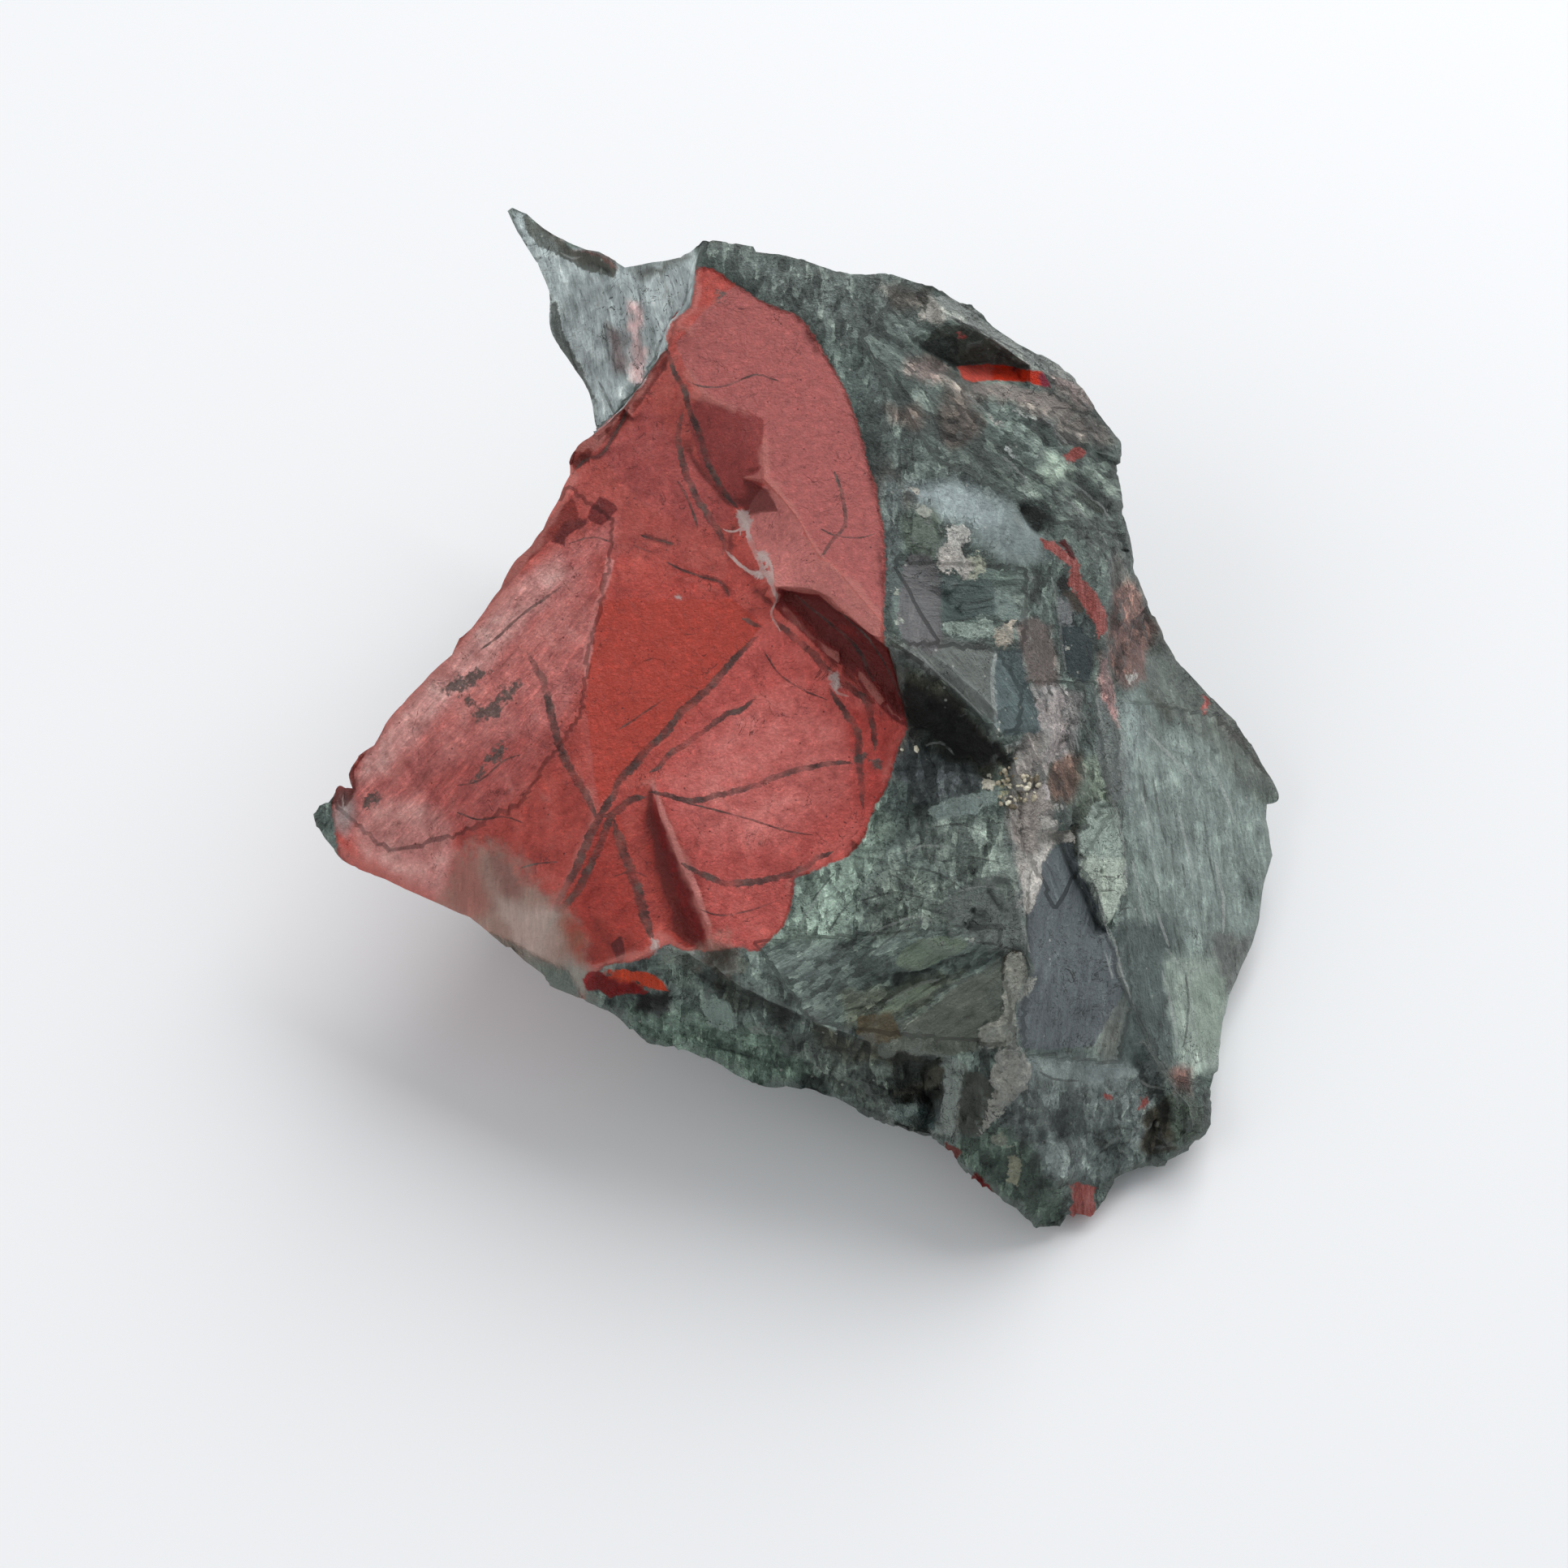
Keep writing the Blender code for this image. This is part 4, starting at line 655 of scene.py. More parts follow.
drift = (swell(points, 9.0, 81) + 0.6 * swell(points, 4.3, 82) + 0.4 * swell(points, 2.0, 83)) / 1.6
ground = dye(84, 95, 92) + (dye(114, 127, 122) - dye(84, 95, 92)) * eased(drift, -0.5, 0.5)[:, None]
ground += (dye(112, 105, 100) - ground) * 0.6 * eased(swell(points, 7.0, 85), 0.25, 0.7)[:, None]
ground += (dye(60, 68, 66) - ground) * 0.7 * eased(swell(points, 5.0, 87), 0.35, 0.8)[:, None]
GREEN_TONES = (
    # the back rim and the top of the green slope
    ((119, 129, 126), 14, "858 300, 960 310, 1090 340, 1140 350, 1120 430, 1060 420, 1000 400,"
        "930 350"),
    ((108, 104, 99), 12, "1085 350, 1150 352, 1145 385, 1100 380"),
    ((184, 188, 184), 3, "1149 362, 1174 381, 1201 401, 1224 415, 1259 440, 1282 459, 1256 446,"
        "1216 418, 1186 400, 1160 382"),
    ((172, 170, 163), 4, "1133 395, 1140 380, 1149 362, 1162 384, 1160 396"),
    ((180, 164, 161), 4, "1284 456, 1300 448, 1334 478, 1344 502, 1326 500, 1300 478"),
    ((124, 119, 115), 10, "1120 425, 1165 462, 1215 478, 1290 480, 1345 510, 1372 545, 1330 548,"
        "1290 520, 1240 500, 1180 490, 1130 460"),
    ((97, 91, 87), 9, "1150 485, 1190 480, 1215 520, 1200 548, 1165 552, 1148 520"),
    ((100, 110, 107), 12, "1090 400, 1130 415, 1150 490, 1160 560, 1110 600, 1080 540, 1060 470"),
    ((112, 124, 120), 8, "1205 495, 1245 495, 1290 530, 1312 565, 1300 598, 1268 580, 1235 540"),
    ((104, 114, 110), 10, "1160 550, 1230 550, 1270 590, 1290 615, 1230 610, 1150 590"),
    ((100, 110, 106), 8, "1310 570, 1378 560, 1385 640, 1370 690, 1340 690, 1300 640"),
    ((62, 70, 67), 7, "1325 580, 1345 585, 1372 625, 1360 635, 1335 610"),
    ((96, 105, 104), 6, "1086 590, 1112 600, 1112 700, 1098 760, 1088 700"),
    # the glossy pale hollow, its sheen partly painted into its tone, and what lies under it
    ((118, 129, 129), 16, "1115 595, 1170 588, 1240 610, 1290 650, 1290 690, 1240 690, 1200 660,"
        "1150 640"),
    ((136, 147, 149), 22, "1130 600, 1170 592, 1215 615, 1230 650, 1195 640, 1150 622"),
    ((50, 57, 55), 6, "1262 618, 1285 612, 1304 628, 1300 655, 1272 650"),
    ((88, 98, 90), 8, "1108 640, 1150 630, 1165 660, 1155 690, 1118 680"),
    ((92, 105, 100), 8, "1162 700, 1240 708, 1250 745, 1225 770, 1165 772"),
    ((126, 139, 133), 8, "1222 722, 1262 730, 1262 765, 1230 770"),
    ((100, 104, 102), 8, "1100 792, 1160 780, 1226 800, 1228 880, 1170 850, 1122 820"),
    ((134, 144, 143), 3, "1226 800, 1233 800, 1229 850, 1232 892, 1224 892, 1220 850"),
    ((116, 106, 103), 6, "1258 758, 1296 770, 1304 850, 1272 850, 1256 800"),
    ((72, 80, 80), 6, "1306 722, 1330 735, 1352 790, 1340 842, 1314 830, 1302 780"),
    ((152, 149, 149), 6, "1268 845, 1300 842, 1335 860, 1330 930, 1300 945, 1285 920"),
    ((126, 139, 136), 8, "1340 840, 1395 860, 1440 930, 1400 1000, 1370 1010, 1345 930"),
    ((74, 77, 70), 8, "1398 800, 1430 790, 1470 850, 1440 890, 1410 850"),
    # painted shade in the deep hollow beside the red patch
    ((64, 66, 58), 9, "1100 815, 1150 835, 1230 905, 1250 950, 1215 965, 1150 915, 1112 880"),
    ((20, 18, 15), 8, "1104 838, 1140 848, 1190 878, 1232 915, 1240 945, 1205 950, 1160 915,"
        "1114 890"),
    ((90, 96, 98), 6, "1118 905, 1146 925, 1185 940, 1212 965, 1190 985, 1130 985, 1100 950"),
    ((58, 72, 76), 5, "1150 1004, 1180 1002, 1178 1020, 1155 1022"),
    # the crest and the windows beside it
    ((154, 148, 145), 5, "1262 900, 1290 900, 1294 940, 1285 960, 1296 1000, 1300 1040, 1284 1060,"
        "1280 1100, 1268 1122, 1254 1074, 1240 1010, 1245 960"),
    ((118, 129, 118), 8, "1338 932, 1372 938, 1378 1008, 1330 1014, 1322 990"),
    ((82, 93, 91), 10, "1362 1140, 1440 1130, 1446 1310, 1380 1310, 1376 1200"),
    ((120, 132, 128), 14, "1384 1000, 1420 900, 1500 900, 1580 990, 1570 1080, 1530 1200,"
        "1460 1160, 1420 1080"),
    ((148, 161, 152), 12, "1440 1180, 1530 1180, 1510 1320, 1460 1330"),
    ((98, 106, 101), 9, "1392 790, 1440 800, 1500 880, 1580 985, 1560 1000, 1470 900, 1400 830"),
    ((100, 104, 101), 9, "1490 1150, 1545 1160, 1525 1225, 1505 1228"),
    # the rough shelf left of the crest
    ((150, 169, 158), 10, "1078 985, 1100 1020, 1060 1100, 1040 1170, 980 1180, 940 1165, 975 1120,"
        "985 1082, 1055 1050"),
    ((122, 134, 127), 10, "1090 1060, 1170 1090, 1180 1130, 1080 1160, 1060 1130"),
    ((130, 142, 136), 10, "1150 1010, 1240 1010, 1256 1100, 1180 1090, 1110 1040"),
    ((114, 121, 120), 6, "1168 1100, 1250 1100, 1262 1160, 1230 1168, 1180 1140"),
    ((116, 128, 124), 10, "930 1172, 1040 1160, 1060 1210, 1010 1240, 960 1225, 925 1200"),
    ((112, 119, 106), 7, "1040 1225, 1150 1205, 1190 1200, 1110 1250, 1040 1270"),
    ((99, 104, 97), 8, "1110 1255, 1200 1205, 1250 1200, 1240 1290, 1150 1300, 1060 1290"),
    ((66, 56, 47), 4, "1238 1172, 1258 1170, 1256 1205, 1242 1212"),
    # under the ledge, the cave and the foot, with painted shade under the ledge
    ((118, 138, 127), 9, "760 1230, 860 1250, 960 1270, 1010 1330, 930 1345, 840 1310, 770 1280"),
    ((104, 114, 108), 8, "960 1265, 1060 1300, 1160 1310, 1150 1395, 1060 1360, 1000 1330"),
    ((128, 142, 134), 5, "808 1172, 850 1170, 872 1190, 860 1225, 830 1220"),
    ((30, 34, 32), 5, "780 1222, 830 1226, 832 1246, 800 1256, 775 1245"),
    ((66, 72, 66), 4, "868 1196, 905 1202, 925 1232, 985 1256, 970 1262, 905 1238"),
    ((80, 82, 72), 5, "1000 1268, 1060 1290, 1130 1296, 1140 1310, 1060 1312, 1010 1290"),
    ((90, 106, 97), 7, "1190 1380, 1300 1400, 1310 1500, 1280 1515, 1230 1475, 1170 1415"),
    ((58, 62, 54), 3, "1108 1342, 1160 1300, 1166 1312, 1150 1362, 1112 1362"),
    ((60, 62, 56), 4, "1188 1322, 1222 1340, 1215 1392, 1184 1396"),
    ((128, 142, 140), 4, "1098 1362, 1155 1360, 1150 1390, 1104 1380"),
    ((122, 132, 131), 10, "1245 1300, 1420 1310, 1430 1400, 1380 1450, 1300 1450, 1240 1380"),
    ((80, 88, 88), 7, "1290 1370, 1340 1360, 1345 1395, 1300 1400"),
    ((112, 122, 120), 8, "1280 1300, 1330 1310, 1310 1350, 1270 1345"),
    ((112, 124, 122), 7, "1340 1390, 1400 1385, 1380 1440, 1340 1445"),
    ((66, 64, 56), 5, "1412 1370, 1440 1350, 1450 1420, 1410 1428"),
    ((92, 102, 94), 5, "1442 1352, 1480 1350, 1484 1400, 1450 1410"),
    ((118, 92, 86), 6, "1444 1315, 1470 1312, 1472 1348, 1446 1350"),
    # the thin wall behind the gap, painted paler for the light that shines through it
    ((176, 187, 188), 6, "626 258, 700 300, 850 300, 856 350, 822 430, 769 502, 736 545, 700 480,"
        "660 340"),
    ((122, 98, 92), 3, "650 272, 700 300, 745 310, 768 330, 755 338, 700 312"),
    ((128, 118, 118), 8, "745 400, 770 405, 780 465, 760 460"),
    ((228, 196, 195), 4, "771 368, 781 374, 794 430, 793 472, 784 472, 778 420"),
    ((192, 150, 148), 4, "1356 800, 1364 806, 1369 830, 1374 862, 1380 900, 1370 886, 1359 860,"
        "1355 825"),
    ((150, 135, 131), 8, "1120 436, 1150 440, 1166 458, 1142 472, 1118 455"),
    ((124, 114, 108), 8, "1092 505, 1130 503, 1144 516, 1128 526, 1096 520"),
    ((152, 168, 156), 8, "1286 560, 1312 566, 1316 584, 1300 599, 1284 590, 1278 572"),
    ((114, 88, 82), 6, "1376 730, 1392 712, 1410 740, 1424 780, 1416 800, 1404 840, 1390 850,"
        "1376 838, 1366 800, 1366 760"),
    ((118, 97, 88), 6, "1290 960, 1300 940, 1318 932, 1340 932, 1338 950, 1328 975, 1320 990,"
        "1300 992, 1292 978"),
    ((110, 116, 112), 4, "780 332, 850 315, 845 322, 800 342"),
)
green_tones = toned(ground, fretted, GREEN_TONES)

warm = dye(178, 78, 70) + (dye(188, 84, 76) - dye(178, 78, 70)) * eased(drift, -0.6, 0.6)[:, None]
RED_TONES = (
    ((172, 80, 73), 5, "700 560, 735 515, 830 430, 905 640, 890 717, 820 700, 759 679, 700 640"),
    ((168, 80, 76), 6, "736 560, 800 500, 850 560, 880 600, 905 640, 850 650, 790 620"),
    ((196, 92, 86), 14, "884 836, 940 770, 975 765, 1016 815, 1060 850, 1120 900, 1103 936,"
        "1083 984, 1070 1015, 1042 1058, 979 1082, 965 1141, 925 1175, 872 1175, 856 1100,"
        "842 1065, 817 1010, 808 980, 803 960, 830 925"),
    ((205, 110, 104), 18, "830 960, 900 880, 980 850, 1040 900, 1040 980, 960 1040, 880 1040,"
        "840 1000"),
    ((180, 72, 66), 10, "1040 870, 1112 880, 1112 920, 1090 980, 1060 1010, 1050 940"),
    ((188, 108, 103), 14, "418 978, 440 935, 480 880, 560 795, 600 755, 640 715, 690 668, 757 640,"
        "752 700, 730 759, 727 821, 700 880, 660 935, 600 985, 540 1040, 440 1050"),
    # painted sheen: pale pink bands down the glossy flank
    ((212, 152, 146), 12, "640 716, 690 690, 704 706, 650 762, 596 826, 526 896, 474 954, 438 968,"
        "450 928, 500 868, 560 798, 610 748"),
    ((198, 118, 112), 12, "560 860, 700 735, 728 745, 726 790, 640 866, 560 925, 524 910"),
    ((176, 90, 85), 16, "520 965, 560 940, 640 905, 720 885, 735 985, 700 1085, 640 1050, 560 1020,"
        "530 1000"),
    ((206, 140, 134), 12, "440 1010, 480 985, 540 1000, 560 1050, 545 1108, 500 1090, 450 1060"),
    ((176, 152, 149), 8, "410 990, 430 975, 440 1000, 426 1030, 410 1020"),
    ((176, 76, 68), 12, "560 1040, 640 980, 715 880, 735 1000, 700 1090, 640 1060"),
    ((168, 64, 56), 6, "740 1010, 765 1000, 800 1160, 760 1190, 715 1190, 690 1120"),
    ((150, 58, 50), 6, "735 1130, 790 1160, 780 1185, 722 1212, 712 1180"),
    # painted shade in the groove beside the pad
    ((142, 48, 41), 14, "786 1000, 812 990, 850 1075, 878 1140, 872 1172, 838 1168, 806 1090"),
    ((112, 28, 22), 8, "800 985, 816 1004, 842 1062, 860 1104, 872 1166, 852 1160, 830 1100,"
        "806 1040"),
    ((182, 76, 68), 24, "735 690, 780 690, 860 700, 905 737, 900 764, 741 764"),
)
red_tones = toned(warm, spots + 0.3 * (fretted - spots), RED_TONES)
clean_faces("red_face", (
    # the pink facet at the upper right with its painted sheen, and the glossy flank down to the
    # left tip
    ((170, 95, 92), "889 361, 862 388, 848 407, 832 421, 832 430, 841 446, 850 462, 858 478,"
        "864 487, 879 494, 898 503, 921 505, 942 515, 942 532, 941 590, 950 600, 965 615, 985 640,"
        "1000 670, 1010 685, 1021 689, 1040 710, 1060 735, 1081 760, 1120 770, 1120 640, 1090 520,"
        "1040 410, 990 360, 930 340"),
    # the orange-red face in the middle, and the deep groove beside the pad
    ((180, 70, 58), "741 741, 780 738, 820 739, 860 738, 899 737, 922 752, 940 770, 912 805,"
        "884 836, 862 856, 840 875, 818 900, 797 923, 780 944, 764 960, 745 985, 738 995, 728 930,"
        "722 870, 729 800"),
))
# dark scars, and painted shade on the sunk wedge under the ridge and on rims turned from the light
clean_faces("red_scar_and_shade", (
    ((140, 63, 61), "864 487, 898 503, 921 505, 942 515, 942 532, 941 590, 938 605, 925 622,"
        "908 627, 895 620, 880 600, 866 580, 858 550, 850 520, 856 500"),
    ((104, 2, 2), "955 723, 969 721, 987 723, 1010 728, 1024 736, 1042 754, 1056 766, 1072 780,"
        "1088 789, 1100 792, 1110 840, 1125 896, 1111 893, 1097 882, 1083 870, 1067 852, 1056 836,"
        "1044 822, 1031 820, 1017 808, 1001 794, 987 778, 971 762, 955 746"),
    ((92, 26, 20), "679 668, 686 650, 700 638, 724 639, 722 647, 709 651, 697 662, 695 672"),
    ((104, 30, 24), "738 611, 762 624, 752 638, 741 646, 724 640, 728 624"),
    ((84, 10, 9), "752 1164, 766 1150, 772 1178, 762 1190"),
    ((128, 50, 43), "412 985, 425 930, 465 865, 520 800, 560 765, 585 730, 600 742, 560 800,"
        "500 860, 462 905, 438 945"),
    ((120, 50, 44), "736 526, 749 518, 761 508, 769 502, 784 479, 791 475, 800 454, 813 437,"
        "822 429, 824 444, 806 468, 788 500, 770 520, 745 545, 722 566, 704 580, 702 560, 715 530"),
    ((126, 50, 44), "600 742, 640 690, 690 622, 706 612, 716 636, 684 664, 646 698, 610 742"),
    ((64, 12, 12), "774 502, 776 488, 786 480, 784 494"),
    ((74, 12, 12), "742 1196, 790 1207, 806 1222, 800 1236, 750 1236, 722 1240, 722 1222"),
))
# painted highlights: pale pink along the lit ridges and edges of the red patch
clean_faces("red_highlight", (
    ((198, 122, 117), "941 596, 952 606, 966 620, 985 645, 998 672, 1010 688, 1022 692, 1040 712,"
        "1060 737, 1081 762, 1088 789, 1072 780, 1056 766, 1042 754, 1024 736, 1010 728, 987 723,"
        "969 721, 955 723, 944 700, 930 672, 918 650, 925 622, 938 605"),
    ((205, 128, 122), "746 686, 757 690, 752 715, 738 742, 732 770, 731 805, 722 840, 718 820,"
        "722 780, 728 752, 740 725"),
    ((204, 128, 122), "800 962, 806 962, 822 1010, 846 1064, 862 1102, 876 1142, 870 1142,"
        "854 1102, 838 1066, 814 1012"),
))
clean_faces("green_face", (
    # clean breaks of the green stone, each with one even tone
    ((200, 218, 207), "1340 1008, 1345 1018, 1332 1022, 1328 1042, 1336 1056, 1380 1058, 1384 1030,"
        "1376 1000, 1364 985, 1352 990, 1345 1000"),
    ((226, 241, 225), "1336 1056, 1326 1062, 1332 1078, 1338 1084, 1346 1086, 1352 1105, 1358 1122,"
        "1366 1140, 1372 1132, 1378 1112, 1388 1098, 1387 1060, 1362 1054"),
    ((104, 111, 116), "1315 1032, 1326 1056, 1334 1078, 1345 1092, 1357 1130, 1372 1165, 1384 1210,"
        "1384 1218, 1372 1245, 1345 1288, 1290 1292, 1258 1292, 1254 1260, 1258 1232, 1276 1197,"
        "1266 1150, 1268 1122, 1280 1095, 1282 1062, 1300 1044"),
    ((112, 110, 112), "1120 682, 1145 682, 1158 700, 1158 722, 1160 745, 1160 795, 1150 812,"
        "1120 795, 1105 770, 1108 740, 1112 700"),
    ((92, 107, 109), "1231 801, 1246 800, 1258 800, 1263 830, 1272 860, 1281 890, 1283 902,"
        "1240 906, 1229 892, 1226 850"),
    ((112, 118, 114), "1122 795, 1150 806, 1172 790, 1200 796, 1224 802, 1222 850, 1226 890,"
        "1212 882, 1184 856, 1155 830, 1134 812"),
    ((132, 140, 138), "1352 850, 1366 870, 1376 900, 1388 940, 1392 980, 1376 990, 1362 970,"
        "1352 930"),
    ((82, 88, 80), "1140 424, 1150 408, 1165 400, 1188 400, 1202 404, 1222 421, 1245 436, 1266 450,"
        "1280 458, 1252 449, 1218 447, 1195 449, 1179 451, 1156 440"),
    ((178, 184, 180), "1149 362, 1176 366, 1205 386, 1260 428, 1302 446, 1330 480, 1288 458,"
        "1240 428, 1200 402, 1172 382"),
    ((158, 175, 170), "1140 996, 1168 985, 1200 980, 1230 972, 1232 982, 1205 1003, 1150 1012"),
    ((122, 132, 127), "1178 1098, 1200 1082, 1240 1078, 1254 1100, 1262 1160, 1240 1170, 1200 1158,"
        "1172 1140, 1150 1124"),
    ((146, 163, 142), "1100 1190, 1112 1172, 1130 1158, 1160 1154, 1196 1160, 1180 1176, 1150 1188,"
        "1120 1198"),
    ((124, 130, 120), "1096 1296, 1120 1262, 1180 1216, 1210 1196, 1236 1190, 1232 1230, 1205 1270,"
        "1204 1296, 1160 1302"),
    ((168, 180, 173), "1160 1303, 1178 1306, 1192 1316, 1184 1330, 1178 1370, 1172 1400, 1150 1402,"
        "1146 1396, 1158 1350, 1164 1320"),
    ((112, 110, 100), "1105 1338, 1130 1325, 1160 1312, 1160 1336, 1130 1345, 1100 1352"),
    ((160, 178, 172), "1102 1360, 1130 1360, 1140 1378, 1136 1388, 1116 1388, 1098 1380,"
        "1090 1368"),
    ((84, 104, 104), "1130 1360, 1140 1360, 1149 1378, 1148 1392, 1134 1389"),
    ((88, 92, 85), "1188 1322, 1206 1322, 1222 1345, 1222 1360, 1210 1400, 1190 1400, 1180 1380,"
        "1182 1340"),
    ((122, 130, 121), "1200 1205, 1232 1180, 1236 1235, 1205 1260, 1190 1240"),
    ((150, 165, 145), "1080 1250, 1100 1225, 1140 1212, 1160 1216, 1130 1230, 1100 1245"),
    ((110, 98, 76), "1058 1252, 1100 1246, 1110 1280, 1080 1290, 1056 1276"),
    ((158, 178, 168), "862 1232, 880 1230, 900 1236, 912 1262, 896 1272, 872 1262"),
    ((96, 102, 95), "640 262, 672 280, 700 302, 740 318, 762 332, 756 342, 720 332, 690 316,"
        "662 302, 648 282"),
    ((88, 96, 90), "678 370, 686 370, 694 410, 716 452, 736 500, 730 500, 706 458, 686 420,"
        "677 400"),
    ((172, 162, 157), "1196 474, 1230 473, 1262 478, 1292 484, 1322 504, 1300 506, 1262 496,"
        "1230 488, 1206 484"),
    ((90, 90, 87), "1298 524, 1312 529, 1332 540, 1328 548, 1306 545"),
    ((70, 76, 70), "1318 598, 1340 610, 1371 632, 1367 637, 1345 627, 1325 613"),
    ((132, 122, 118), "1258 760, 1280 762, 1296 790, 1300 835, 1284 845, 1266 838, 1262 800"),
    ((72, 84, 86), "1306 770, 1330 770, 1346 790, 1344 820, 1340 838, 1332 838, 1318 828,"
        "1308 800"),
    ((158, 161, 163), "1303 736, 1312 738, 1322 752, 1322 768, 1308 768"),
    ((82, 72, 62), "1310 730, 1326 728, 1338 752, 1330 756, 1318 742"),
    ((26, 24, 18), "1303 716, 1310 710, 1325 714, 1326 724, 1318 728, 1312 730, 1304 722"),
    ((96, 112, 110), "1162 706, 1196 712, 1218 712, 1226 726, 1226 758, 1200 762, 1164 768,"
        "1160 730"),
    ((150, 167, 162), "1222 725, 1240 728, 1258 756, 1264 764, 1240 766, 1226 760"),
    ((128, 140, 130), "1124 640, 1135 634, 1142 642, 1150 660, 1162 668, 1158 682, 1140 684,"
        "1126 670"),
    ((46, 48, 40), "1322 1018, 1330 1010, 1334 1016, 1330 1030, 1328 1045, 1334 1056, 1330 1060,"
        "1322 1050, 1317 1035"),
    ((62, 48, 35), "1238 1176, 1254 1170, 1256 1180, 1248 1195, 1240 1210, 1234 1195"),
))
clean_faces("green_crust", (
    # weathered crusts and pale lobes along the crest
    ((240, 238, 232), "1168 656, 1176 649, 1184 647, 1190 655, 1192 668, 1188 674, 1178 677,"
        "1170 669"),
    ((226, 220, 213), "1158 680, 1170 676, 1186 675, 1198 676, 1202 684, 1201 700, 1200 712,"
        "1188 708, 1172 704, 1158 704"),
    ((196, 200, 180), "1201 677, 1212 684, 1218 694, 1214 708, 1202 712"),
    ((176, 193, 184), "1163 772, 1175 768, 1190 770, 1205 762, 1225 768, 1228 785, 1212 790,"
        "1204 794, 1192 784, 1178 778, 1170 784"),
    ((214, 204, 188), "1228 778, 1240 770, 1252 764, 1256 770, 1248 784, 1244 797, 1238 800,"
        "1230 792, 1220 788"),
    ((186, 183, 172), "1124 596, 1132 597, 1140 606, 1138 614, 1130 610, 1125 604"),
    ((176, 180, 170), "1128 628, 1138 622, 1148 632, 1144 642, 1132 640"),
    ((176, 178, 168), "1240 1174, 1258 1172, 1266 1182, 1277 1203, 1268 1222, 1254 1238, 1253 1285,"
        "1240 1292, 1208 1290, 1205 1275, 1215 1262, 1240 1236, 1238 1206"),
    ((184, 184, 176), "1253 1285, 1262 1300, 1268 1318, 1260 1345, 1240 1358, 1222 1385, 1212 1402,"
        "1206 1396, 1222 1352, 1214 1332, 1228 1304, 1240 1292"),
    ((206, 196, 194), "1272 858, 1282 860, 1290 880, 1296 862, 1306 842, 1312 870, 1304 885,"
        "1318 890, 1312 915, 1302 930, 1290 945, 1285 960, 1280 930, 1286 905, 1282 890, 1274 876"),
    ((184, 175, 169), "1284 960, 1294 985, 1296 1000, 1282 1000, 1276 1010, 1280 1030, 1272 1050,"
        "1262 1045, 1258 1075, 1250 1040, 1246 1000, 1262 985"),
    ((208, 204, 197), "1282 1000, 1298 1010, 1306 1022, 1320 1018, 1326 1030, 1322 1040, 1314 1030,"
        "1304 1042, 1298 1040, 1288 1052, 1282 1065, 1282 1085, 1276 1105, 1268 1121, 1262 1100,"
        "1259 1075, 1264 1050, 1273 1050, 1281 1030, 1277 1010"),
    ((236, 226, 226), "1280 962, 1288 960, 1292 972, 1297 988, 1290 992, 1282 984"),
    ((206, 206, 200), "1284 990, 1300 994, 1312 994, 1304 999, 1292 997"),
    ((236, 230, 212), "1209 962, 1222 958, 1229 968, 1222 978, 1211 976"),
    ((206, 202, 176), "1243 965, 1250 965, 1250 972, 1243 972"),
    ((196, 194, 160), "1232 974, 1242 974, 1242 980, 1233 980"),
    ((200, 196, 170), "1253 977, 1259 977, 1259 983, 1253 983"),
    ((205, 202, 198), "1252 1109, 1260 1109, 1260 1113, 1253 1113"),
    ((214, 210, 202), "1142 372, 1149 364, 1160 382, 1163 394, 1150 398, 1140 398, 1127 392,"
        "1136 384"),
    ((206, 206, 200), "1232 888, 1237 888, 1236 898, 1231 903, 1229 898"),
    ((196, 204, 200), "1236 914, 1250 918, 1260 918, 1252 924, 1242 920"),
    ((196, 196, 188), "1312 794, 1317 794, 1316 800, 1312 799"),
    ((176, 178, 168), "1239 922, 1250 922, 1251 932, 1240 932"),
    ((190, 188, 182), "1390 838, 1394 828, 1400 832, 1396 842"),
    ((206, 204, 198), "1217 505, 1226 510, 1237 524, 1236 529, 1224 519"),
    ((200, 208, 206), "1238 550, 1248 554, 1258 562, 1252 565, 1242 558"),
    ((192, 198, 194), "1250 502, 1262 508, 1277 512, 1276 517, 1262 512"),
    ((180, 184, 178), "1136 468, 1144 467, 1144 474, 1137 475"),
    ((186, 190, 184), "1195 1153, 1203 1154, 1203 1159, 1196 1158"),
    ((158, 160, 138), "1242 1430, 1256 1420, 1262 1440, 1258 1466, 1246 1462"),
    ((160, 166, 150), "1222 1400, 1244 1396, 1246 1412, 1226 1414"),
    ((150, 160, 150), "806 1172, 822 1166, 846 1172, 870 1188, 868 1204, 846 1190, 818 1184"),
    ((150, 162, 150), "912 1180, 922 1178, 928 1192, 920 1202, 912 1194"),
    ((148, 158, 150), "926 1264, 940 1262, 950 1272, 936 1278"),
    ((196, 196, 190), "838 1164, 852 1168, 862 1176, 850 1180, 840 1174"),
    ((180, 186, 172), "1099 728, 1108 726, 1110 733, 1101 735"),
    ((168, 176, 164), "1104 764, 1114 762, 1116 768, 1106 770"),
    ((150, 162, 150), "1090 778, 1120 790, 1118 798, 1096 792"),
), 0.9)
